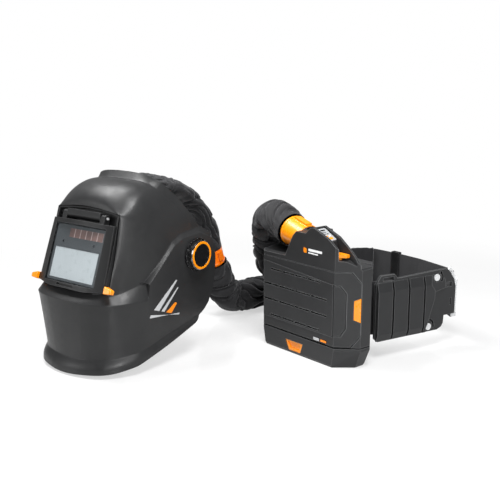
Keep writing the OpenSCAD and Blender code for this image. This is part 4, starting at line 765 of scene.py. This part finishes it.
def line_distance(q, line):
    """Distance of points q from a polyline, the share along it, and the side (positive on its right)."""
    line = np.asarray(line, float)
    best = np.full(q.shape[:-1], 1e9)
    side = np.zeros(q.shape[:-1])
    share = np.zeros(q.shape[:-1])
    for k in range(len(line) - 1):
        a, d = line[k], line[k + 1] - line[k]
        t = np.clip(((q - a) @ d) / (d @ d), 0, 1)
        away = q - (a + t[..., None] * d)
        dist = np.linalg.norm(away, axis=-1)
        cross = d[0] * (q[..., 1] - a[1]) - d[1] * (q[..., 0] - a[0])
        near = dist < best
        best = np.where(near, dist, best)
        side = np.where(near, -np.sign(cross), side)
        share = np.where(near, (k + t) / (len(line) - 1), share)
    return best, share, side


# seen from the side, (y, z): the eye zone lies lower than the bib and the ear panel, and a
# chamfer joins them. It is narrow beside the panel and wide under the window.
EDGE_UP = [[183, 84], [161, 87], [119, 68], [101, 52], [87, 22], [62, -21], [29, -45], [0, -58]]
EDGE_IN = [[183, 77], [164, 79], [123, 61.5], [106.5, 47], [94, 25], [68, -23]]
MITRE_END = [74, -46]
LEDGE_LOW = [[74, -46], [45, -57], [17, -66], [-10, -72]]
SINK = [2.5, 4.2, 4.4, 4.4, 5.5, 9.5, 7.5, 3.0]


def eye_zone(grid):
    """How far each point of the outer net sinks below the ear panel, in mm."""
    q = grid[..., 1:]
    d_up, share, side_up = line_distance(q, EDGE_UP)
    d_in = line_distance(q, EDGE_IN + [MITRE_END] + LEDGE_LOW[1:])
    d_low = line_distance(q, [[90, -40]] + LEDGE_LOW)[0]
    depth = np.interp(share, np.linspace(0, 1, len(SINK)), SINK)
    beyond = side_up > 0
    on_panel = ~beyond & (d_in[2] < 0)
    ledge = ~beyond & ~on_panel & (q[..., 1] < np.interp(q[..., 0], [0, 62, 68, 200], [-58, -21, -23, -23]))
    across_crease = d_up / np.maximum(d_up + d_in[0], 1e-6)
    across_ledge = d_up / np.maximum(d_up + d_low, 1e-6)
    low = np.where(beyond, np.exp(-(d_up / 38) ** 1.3), 1 - np.where(ledge, across_ledge, across_crease))
    low = np.where(on_panel, 0, low)
    at_side = np.clip((np.abs(grid[..., 0]) - 62) / 26, 0, 1)
    return depth * low * at_side * at_side * (3 - 2 * at_side)


def grid_normals(g):
    """Unit normals of a net of points, outwards."""
    a = np.gradient(g, axis=0)
    b = np.gradient(g, axis=1)
    n = np.cross(b, a)
    return n / np.maximum(np.linalg.norm(n, axis=2, keepdims=True), 1e-9)


net = [[[-x, y, z] for x, y, z in row[:0:-1]] + row for row in ROWS]
cols = [round_path([r[j] for r in net], ROW_ROUND, STEPS, STRAIGHT) for j in range(len(net[0]))]
coarse = np.array([cross_row([c[i] for c in cols], i) for i in range(len(cols[0]))])
outer, row_at, col_at = refine(coarse, LONGEST_CELL)


def near_lines(at, stations, width):
    """1 on the grid lines of the stations, falling to 0 over width cells."""
    lines = np.array([at[station(k)] for k in stations])
    gap = np.abs(np.arange(at[-1] + 1)[:, None] - lines).min(axis=1)
    return np.clip(1 - gap / width, 0, 1)


def span_of(at, first, last, soft):
    """1 between two stations, falling to 0 over soft cells outside them."""
    k = np.arange(at[-1] + 1)
    return np.clip(1 - np.maximum(at[station(first)] - k, k - at[station(last)]) / soft, 0, 1)


def relaxed(grid, rounds):
    """The net's facets smoothed out, but not the window, the ledge, the rim's crease or the lip."""
    keep = np.maximum.reduce([
        np.outer(span_of(row_at, 5, 7, 5), span_of(col_at, 5, 7, 5)),
        np.outer(near_lines(row_at, [4, 5], 4), span_of(col_at, 3, 9, 8)),
        np.outer(near_lines(row_at, [2], 5), np.ones(grid.shape[1])),
        np.outer(near_lines(row_at, [11], 4), np.ones(grid.shape[1]))])
    free = (1 - np.clip(keep, 0, 1))[1:-1, 1:-1, None]
    for _ in range(rounds):
        mean = (grid[:-2, 1:-1] + grid[2:, 1:-1] + grid[1:-1, :-2] + grid[1:-1, 2:]) / 4
        grid[1:-1, 1:-1] += 0.8 * free * (mean - grid[1:-1, 1:-1])
    return grid


outer = relaxed(outer, 90)
outer = outer - eye_zone(outer)[..., None] * grid_normals(outer)
inner_net = outer - SHELL_WALL * grid_normals(outer)
rows_n, cols_n = outer.shape[:2]
r0, r1 = (row_at[station(k)] for k in WINDOW_ROWS)
c0, c1 = (col_at[station(k)] for k in WINDOW_COLS)


def net_index(i, j):
    """Number of the point at row i and column j."""
    return i * cols_n + j


def border(low_i, high_i, low_j, high_j):
    """The points round a block of the net, closed."""
    return ([net_index(low_i, j) for j in range(low_j, high_j + 1)]
            + [net_index(i, high_j) for i in range(low_i + 1, high_i + 1)]
            + [net_index(high_i, j) for j in range(high_j - 1, low_j - 1, -1)]
            + [net_index(i, low_j) for i in range(high_i - 1, low_i - 1, -1)])


def shell_object():
    """The outer and inner skins, joined round the rim and the window."""
    n = rows_n * cols_n
    faces = []
    for i in range(rows_n - 1):
        for j in range(cols_n - 1):
            if r0 <= i < r1 and c0 <= j < c1:
                continue
            a, b, c, d = net_index(i, j), net_index(i, j + 1), net_index(i + 1, j + 1), net_index(i + 1, j)
            faces.append([a, b, c, d])
            faces.append([n + d, n + c, n + b, n + a])
    for loop in (border(0, rows_n - 1, 0, cols_n - 1), border(r0, r1, c0, c1)[::-1]):
        for a, b in zip(loop, loop[1:]):
            faces.append([a, n + a, n + b, b])
    verts = np.vstack([outer.reshape(-1, 3), inner_net.reshape(-1, 3)])
    ob = new_object("shell_skin", H(verts), faces, [M["charcoal_shell"]])
    bm = bmesh.new()
    bm.from_mesh(ob.data)
    loose = [v for v in bm.verts if not v.link_faces]
    bmesh.ops.delete(bm, geom=loose, context="VERTS")
    bmesh.ops.recalc_face_normals(bm, faces=bm.faces)
    for v in bm.verts:
        v.co.z = min(v.co.z, cad_hi[2] - 0.01 * MM)
    bm.to_mesh(ob.data)
    bm.free()
    bevel(ob, 1.1 * MM, 2, 55)
    return ob


settle(shell_object(), "shell", ["helmet_shell"])


# ------------------------------------------------------------------ air duct

# in the helmet frame: middle line, half widths and half heights, from the forehead to the socket
DUCT_ROUTE = [[0, 88, 122], [0, 112, 137], [0, 156, 147], [0, 200, 144], [0, 238, 132], [0, 270, 114],
              [0, 300, 92], [0, 317, 75]]
DUCT_W = [44, 46, 46, 43, 38, 33, 28, 25]
DUCT_H = [12, 17, 18, 19, 21, 23, 25, 25]
DUCT_MOUTH = [[0, 72.3, 116.5], [0, 77.3, 116.5]]


def eased(values):
    """The values on the same curve, and with as many points, as the duct's middle line."""
    return spline(np.stack([values, values, values], 1), 3)[:, 0]


duct_line = np.vstack([DUCT_MOUTH, spline(DUCT_ROUTE, 3), [SOCKET_AT_H]])
duct_w = np.r_[44, 44, eased(DUCT_W), 25]
duct_h = np.r_[8, 8.5, eased(DUCT_H), 25]
d_old = np.r_[0, np.cumsum(np.linalg.norm(np.diff(duct_line, axis=0), axis=1))]
fine = smooth_line(resample(duct_line, 2.2), 3)
d_new = np.linspace(0, d_old[-1], len(fine))
duct = folded_tube("duct_sleeve", H(fine), np.interp(d_new, d_old, duct_w) * MM,
                   np.interp(d_new, d_old, duct_h) * MM, side0=HD([1, 0, 0]), sides=150,
                   depth=0.0085, mats=[M["sleeve_fabric"]], seed=5, taper=(0.02, 0.02),
                   pitch=0.06, slant=0.35, helix=2.4, fine_folds=0.04, lengthwise=0.2)
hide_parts("air_duct")
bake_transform(duct)


# ------------------------------------------------------------------ padded pieces

def puffed(node, voxel, cap, shrink, pressure=4.0):
    """A pad blown up from its CAD shape by a short cloth simulation, then subdivided once."""
    source = frame["nodes"][node]
    ob = bpy.data.objects.new("soft_" + node, source.data.copy())
    bpy.context.scene.collection.objects.link(ob)
    ob.data.materials.clear()
    ob.data.materials.append(M[SLOT[node]])
    remesh = ob.modifiers.new("remesh", "REMESH")
    remesh.mode = "VOXEL"
    remesh.voxel_size = voxel
    bake_modifiers(ob)
    mesh = ob.data
    n = len(mesh.vertices)
    start = np.empty(n * 3)
    mesh.vertices.foreach_get("co", start)
    start = start.reshape(-1, 3)
    normal = np.empty(n * 3)
    mesh.vertices.foreach_get("normal", normal)
    start = start - normal.reshape(-1, 3) * shrink
    mesh.vertices.foreach_set("co", start.ravel())
    cloth = ob.modifiers.new("cloth", "CLOTH")
    cloth.settings.use_pressure = True
    cloth.settings.uniform_pressure_force = pressure
    cloth.settings.effector_weights.gravity = 0
    cloth.settings.quality = 4
    cloth.point_cache.frame_start, cloth.point_cache.frame_end = 1, 20
    for k in range(1, 21):
        bpy.context.scene.frame_set(k)
    bake_modifiers(ob)
    bpy.context.scene.frame_set(1)
    mesh = ob.data
    now = np.empty(n * 3)
    mesh.vertices.foreach_get("co", now)
    move = now.reshape(-1, 3) - start
    size = np.linalg.norm(move, axis=1, keepdims=True)
    now = start + move * np.minimum(1, cap / np.maximum(size, 1e-9))
    mesh.vertices.foreach_set("co", now.ravel())
    finer = ob.modifiers.new("finer", "SUBSURF")
    finer.levels = finer.render_levels = 1
    bake_modifiers(ob)
    ob.data.polygons.foreach_set("use_smooth", [True] * len(ob.data.polygons))
    settle(ob, BODY[node], [node])
    return ob


puffed("comfort_pad", 0.0045, 0.004, 0.0015)
puffed("brow_pad", 0.004, 0.004, 0.001)


# ------------------------------------------------------------------ printed bars, plain and generic

def printed(name, outlines, place, body, slot, thick=0.00022):
    """Thin raised plates; place turns the points of an outline into 3-D points and normals."""
    verts, faces = [], []
    for outline in outlines:
        base, normal = place(np.asarray(outline, float))
        first = len(verts)
        n = len(base)
        verts += list(base - normal * thick) + list(base + normal * thick)
        faces.append([first + n + k for k in range(n)])
        faces.append([first + n - 1 - k for k in range(n)])
        faces += [[first + k, first + (k + 1) % n, first + n + (k + 1) % n, first + n + k] for k in range(n)]
    ob = new_object(name, verts, faces, [M[slot]], smooth=False)
    return settle(ob, body)


def bar_strip(corners, pieces=14):
    """A four-cornered bar cut into short pieces, so that it can follow a curved wall."""
    a, b, c, d = [np.asarray(v, float) for v in corners]
    out = []
    for k in range(pieces):
        s, e = k / pieces, (k + 1) / pieces
        out.append([a + (d - a) * s, b + (c - b) * s, b + (c - b) * e, a + (d - a) * e])
    return out


SIDE_TREE = BVHTree.FromPolygons(
    [Vector(v) for v in outer.reshape(-1, 3)],
    [[net_index(i, j), net_index(i, j + 1), net_index(i + 1, j + 1), net_index(i + 1, j)]
     for i in range(rows_n - 1) for j in range(cols_n - 1)])


def on_side(sign):
    """Places (y, z) outlines of the helmet frame on the shell's side; sign is 1 on the right."""
    def place(yz):
        base, normal = [], []
        for y, z in yz:
            hit, n, _, _ = SIDE_TREE.ray_cast(Vector((sign * 200, y, z)), Vector((-sign, 0, 0)))
            n = np.array(n) * (1 if n[0] * sign > 0 else -1)
            base.append(hit)
            normal.append(n)
        return H(np.array(base)), HD(np.array(normal))
    return place


SIDE_BARS = [[(90, -60), (102, -60), (125, -6), (122, -6)], [(107, -60), (114, -60), (132, -17), (130, -17)],
             [(86, -69), (86, -74), (150, -57), (150, -60)]]
SIDE_ACCENT = [[(119, -60), (131, -60), (138, -42), (133, -42)]]
for sign, label in ((1, "right"), (-1, "left")):
    strips = [piece for bar in SIDE_BARS for piece in bar_strip(bar)]
    printed("side_bars_" + label, strips, on_side(sign), "shell", "pale_print")
    strips = [piece for bar in SIDE_ACCENT for piece in bar_strip(bar, 6)]
    printed("side_accent_" + label, strips, on_side(sign), "shell", "orange_print")


def box_outline(x0, x1, z0, z1, cut=0.0):
    """A bar in mm with two opposite corners cut."""
    return [(x0 + cut, z0), (x1, z0), (x1, z1 - cut), (x1 - cut, z1), (x0, z1), (x0, z0 + cut)]


def on_front(y_mm):
    """Places (x, z) outlines in mm on the upright plane at y_mm, facing the front."""
    def place(xz):
        base = np.stack([xz[:, 0], np.full(len(xz), y_mm), xz[:, 1]], 1) * MM
        return base, np.tile([0.0, -1.0, 0.0], (len(xz), 1))
    return place


tower_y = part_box("blower_housing")[0][1] / MM
cover_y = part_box("filter_cover")[0][1] / MM
printed("tower_mark", [box_outline(13, 20, 181, 189, 1.6)], on_front(tower_y), "unit", "orange_print")
printed("tower_bars", [box_outline(24, 55, 185, 189, 0.8), box_outline(24, 46, 181, 183, 0.4)],
        on_front(tower_y), "unit", "white_print")
cover_body = BODY["filter_cover"]
printed("label_bars", [box_outline(40, 53, 39, 43.5, 0.6)], on_front(cover_y), cover_body, "pale_print")
printed("label_accent", [box_outline(56, 69, 39.6, 42.9, 0.6)], on_front(cover_y), cover_body, "orange_print")


def face_frame(node, towards):
    """Middle, half sizes and axes of the flat face of a node that looks a given way."""
    mesh = frame["nodes"][node].data
    towards = unit(towards)
    points, normals_here = [], []
    for poly in mesh.polygons:
        if np.dot(poly.normal, towards) > 0.9:
            normals_here.append(np.array(poly.normal) * poly.area)
            points += [np.array(mesh.vertices[v].co) for v in poly.vertices]
    n = unit(np.sum(normals_here, axis=0))
    top = max(p @ n for p in points)
    points = np.array([p for p in points if p @ n > top - 0.1 * MM])
    v = unit(np.array([0, 1, 0]) - n[1] * n)
    u = np.cross(v, n)
    lo_u, hi_u, lo_v, hi_v = (points @ u).min(), (points @ u).max(), (points @ v).min(), (points @ v).max()
    middle = u * (lo_u + hi_u) / 2 + v * (lo_v + hi_v) / 2 + n * top
    return middle, u, v, n, (hi_u - lo_u) / 2, (hi_v - lo_v) / 2


mid, du, dv, dn, half_u, half_v = face_frame("display_panel", (0.5, 0, 0.85))


def on_display(uv):
    """Places outlines on the display; u and v run from -1 to 1 over its face."""
    base = mid + uv[:, :1] * du * half_u + uv[:, 1:] * dv * half_v
    return base, np.tile(dn, (len(uv), 1))


def screen_cells(cells):
    """Outlines of rectangles given as (u0, u1, v0, v1)."""
    return [[(a, c), (b, c), (b, d), (a, d)] for a, b, c, d in cells]


printed("display_marks", screen_cells([
    (-0.78, -0.6, -0.6, 0.55), (-0.48, -0.42, -0.6, 0.1), (-0.34, -0.28, -0.6, 0.35),
    (-0.12, -0.02, -0.6, -0.2), (-0.12, -0.02, 0.0, 0.5)]), on_display, "unit", "gloss_black")
printed("display_keys", screen_cells([(0.18, 0.34, -0.6, -0.15), (0.5, 0.8, -0.6, 0.5)]), on_display, "unit",
        "orange_print")
printed("display_lamp", screen_cells([(0.18, 0.34, 0.1, 0.55)]), on_display, "unit", "white_print")


# ------------------------------------------------------------------ lift tabs of the flip-up frame

TAB_IN, TAB_OUT = LENS_W / 2 + 23, LENS_W / 2 + 38
# sections of a tab: x, lower and upper z, back and front y
TAB_SECTIONS = [(TAB_IN, -50.5, -38.5, 1.6, 13), (TAB_OUT - 2, -49.4, -42.0, 2.8, 12),
                (TAB_OUT, -48.4, -43, 4, 11)]


def lift_tabs():
    """The two orange tabs, each tapering outwards."""
    verts, faces = [], []
    for sign in (-1, 1):
        first = len(verts)
        for x, z0, z1, y0, y1 in TAB_SECTIONS:
            verts += [(sign * x, y0, z0), (sign * x, y1, z0), (sign * x, y1, z1), (sign * x, y0, z1)]
        for r in range(2):
            a = first + 4 * r
            faces += [[a + k, a + (k + 1) % 4, a + 4 + (k + 1) % 4, a + 4 + k] for k in range(4)]
        faces += [[first, first + 1, first + 2, first + 3], [first + 11, first + 10, first + 9, first + 8]]
    ob = new_object("lift_tabs_fine", H(verts), faces, [M["orange_plastic"]])
    bm = bmesh.new()
    bm.from_mesh(ob.data)
    bmesh.ops.recalc_face_normals(bm, faces=bm.faces)
    bm.to_mesh(ob.data)
    bm.free()
    bevel(ob, 1.3 * MM, 3, 25)
    settle(ob, BODY["lift_tabs"], ["lift_tabs"])


lift_tabs()


# ------------------------------------------------------------------ stage and light

FLOOR_SIZE = 30.0
SHADOW_ENDS = (0.42, 1.05)


def stage():
    """White sweep: keeps the shadow near the object and turns to plain white further out."""
    size = FLOOR_SIZE
    g = Nodes("studio_floor")
    rays = g.n("ShaderNodeLightPath")
    seen = g.math("MAXIMUM", g.math("MAXIMUM", rays.outputs["Is Camera Ray"], rays.outputs["Is Glossy Ray"]),
                  rays.outputs["Is Transmission Ray"])
    smear = g.noise(g.coords(), 6, 3)
    plain = g.n("ShaderNodeBsdfPrincipled", Roughness=0.07)
    g.link(g.ramp(smear, [(0.3, (0.36, 0.36, 0.36)), (0.7, (0.39, 0.39, 0.39))]), plain.inputs["Base Color"])
    plain.inputs["Specular IOR Level"].default_value = 0.5
    lift = g.n("ShaderNodeEmission")
    g.link(g.math("MULTIPLY", seen, 0.56), lift.inputs["Strength"])
    near = g.n("ShaderNodeAddShader")
    g.link(plain.outputs[0], near.inputs[0])
    g.link(lift.outputs[0], near.inputs[1])
    white = g.n("ShaderNodeEmission")
    g.link(g.math("ADD", 0.25, g.math("MULTIPLY", seen, 0.75)), white.inputs["Strength"])
    length = g.n("ShaderNodeVectorMath", _operation="LENGTH")
    g.link(g.coords(), length.inputs[0])
    far = g.n("ShaderNodeMapRange", _interpolation_type="SMOOTHSTEP")
    far.inputs["From Min"].default_value = SHADOW_ENDS[0]
    far.inputs["From Max"].default_value = SHADOW_ENDS[1]
    g.link(length.outputs["Value"], far.inputs["Value"])
    blend = g.n("ShaderNodeMixShader")
    g.link(far.outputs["Result"], blend.inputs[0])
    g.link(near.outputs[0], blend.inputs[1])
    g.link(white.outputs[0], blend.inputs[2])
    g.link(blend.outputs[0], g.out.inputs["Surface"])
    corners = [[-size, -size, 0], [size, -size, 0], [size, size, 0], [-size, size, 0]]
    floor = new_object("studio_floor", corners, [[0, 1, 2, 3]], [g.m], smooth=False)


stage()


def area_light(name, at, target, size, power):
    """A rectangular softbox; size is (width, height) in metres, power in watts."""
    data = bpy.data.lights.new(name, "AREA")
    data.shape = "RECTANGLE"
    data.size, data.size_y = size
    data.energy = power
    ob = bpy.data.objects.new(name, data)
    bpy.context.scene.collection.objects.link(ob)
    ob.location = at
    ob.rotation_mode = "QUATERNION"
    ob.rotation_quaternion = (Vector(target) - Vector(at)).to_track_quat("-Z", "Y")


area_light("top_left_softbox", (-0.6, -0.4, 1.25), (-0.2, -0.25, 0.1), (0.6, 0.6), 19)
area_light("top_right_softbox", (0.45, -0.25, 1.35), (0.0, -0.1, 0.1), (0.5, 0.5), 20)
area_light("front_softbox", (-0.7, -1.7, 0.5), (-0.1, -0.1, 0.12), (0.6, 0.6), 5)
area_light("right_softbox", (1.5, -0.95, 0.75), (0.0, -0.1, 0.1), (0.5, 0.7), 20)


def studio_world():
    """Dim cool light all round, a brighter room for reflections, and white for the camera."""
    world = bpy.data.worlds.new("studio")
    bpy.context.scene.world = world
    world.use_nodes = True
    tree = world.node_tree
    tree.nodes.clear()

    def background(colour, strength):
        node = tree.nodes.new("ShaderNodeBackground")
        node.inputs["Color"].default_value = (*colour, 1)
        node.inputs["Strength"].default_value = strength
        return node.outputs[0]

    def choose(ray, other, chosen):
        node = tree.nodes.new("ShaderNodeMixShader")
        for socket, source in zip(node.inputs, (ray, other, chosen)):
            tree.links.new(source, socket)
        return node.outputs[0]

    rays = tree.nodes.new("ShaderNodeLightPath")
    soft = background((0.9, 0.93, 1.0), 0.06)
    mirrored = background((1, 1, 1), 0.30)
    white = background((1, 1, 1), 1.0)
    for_objects = choose(rays.outputs["Is Glossy Ray"], soft, mirrored)
    seen = choose(rays.outputs["Is Camera Ray"], for_objects, white)
    tree.links.new(seen, tree.nodes.new("ShaderNodeOutputWorld").inputs["Surface"])


studio_world()
bpy.context.scene.view_settings.view_transform = "Standard"

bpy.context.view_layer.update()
import json
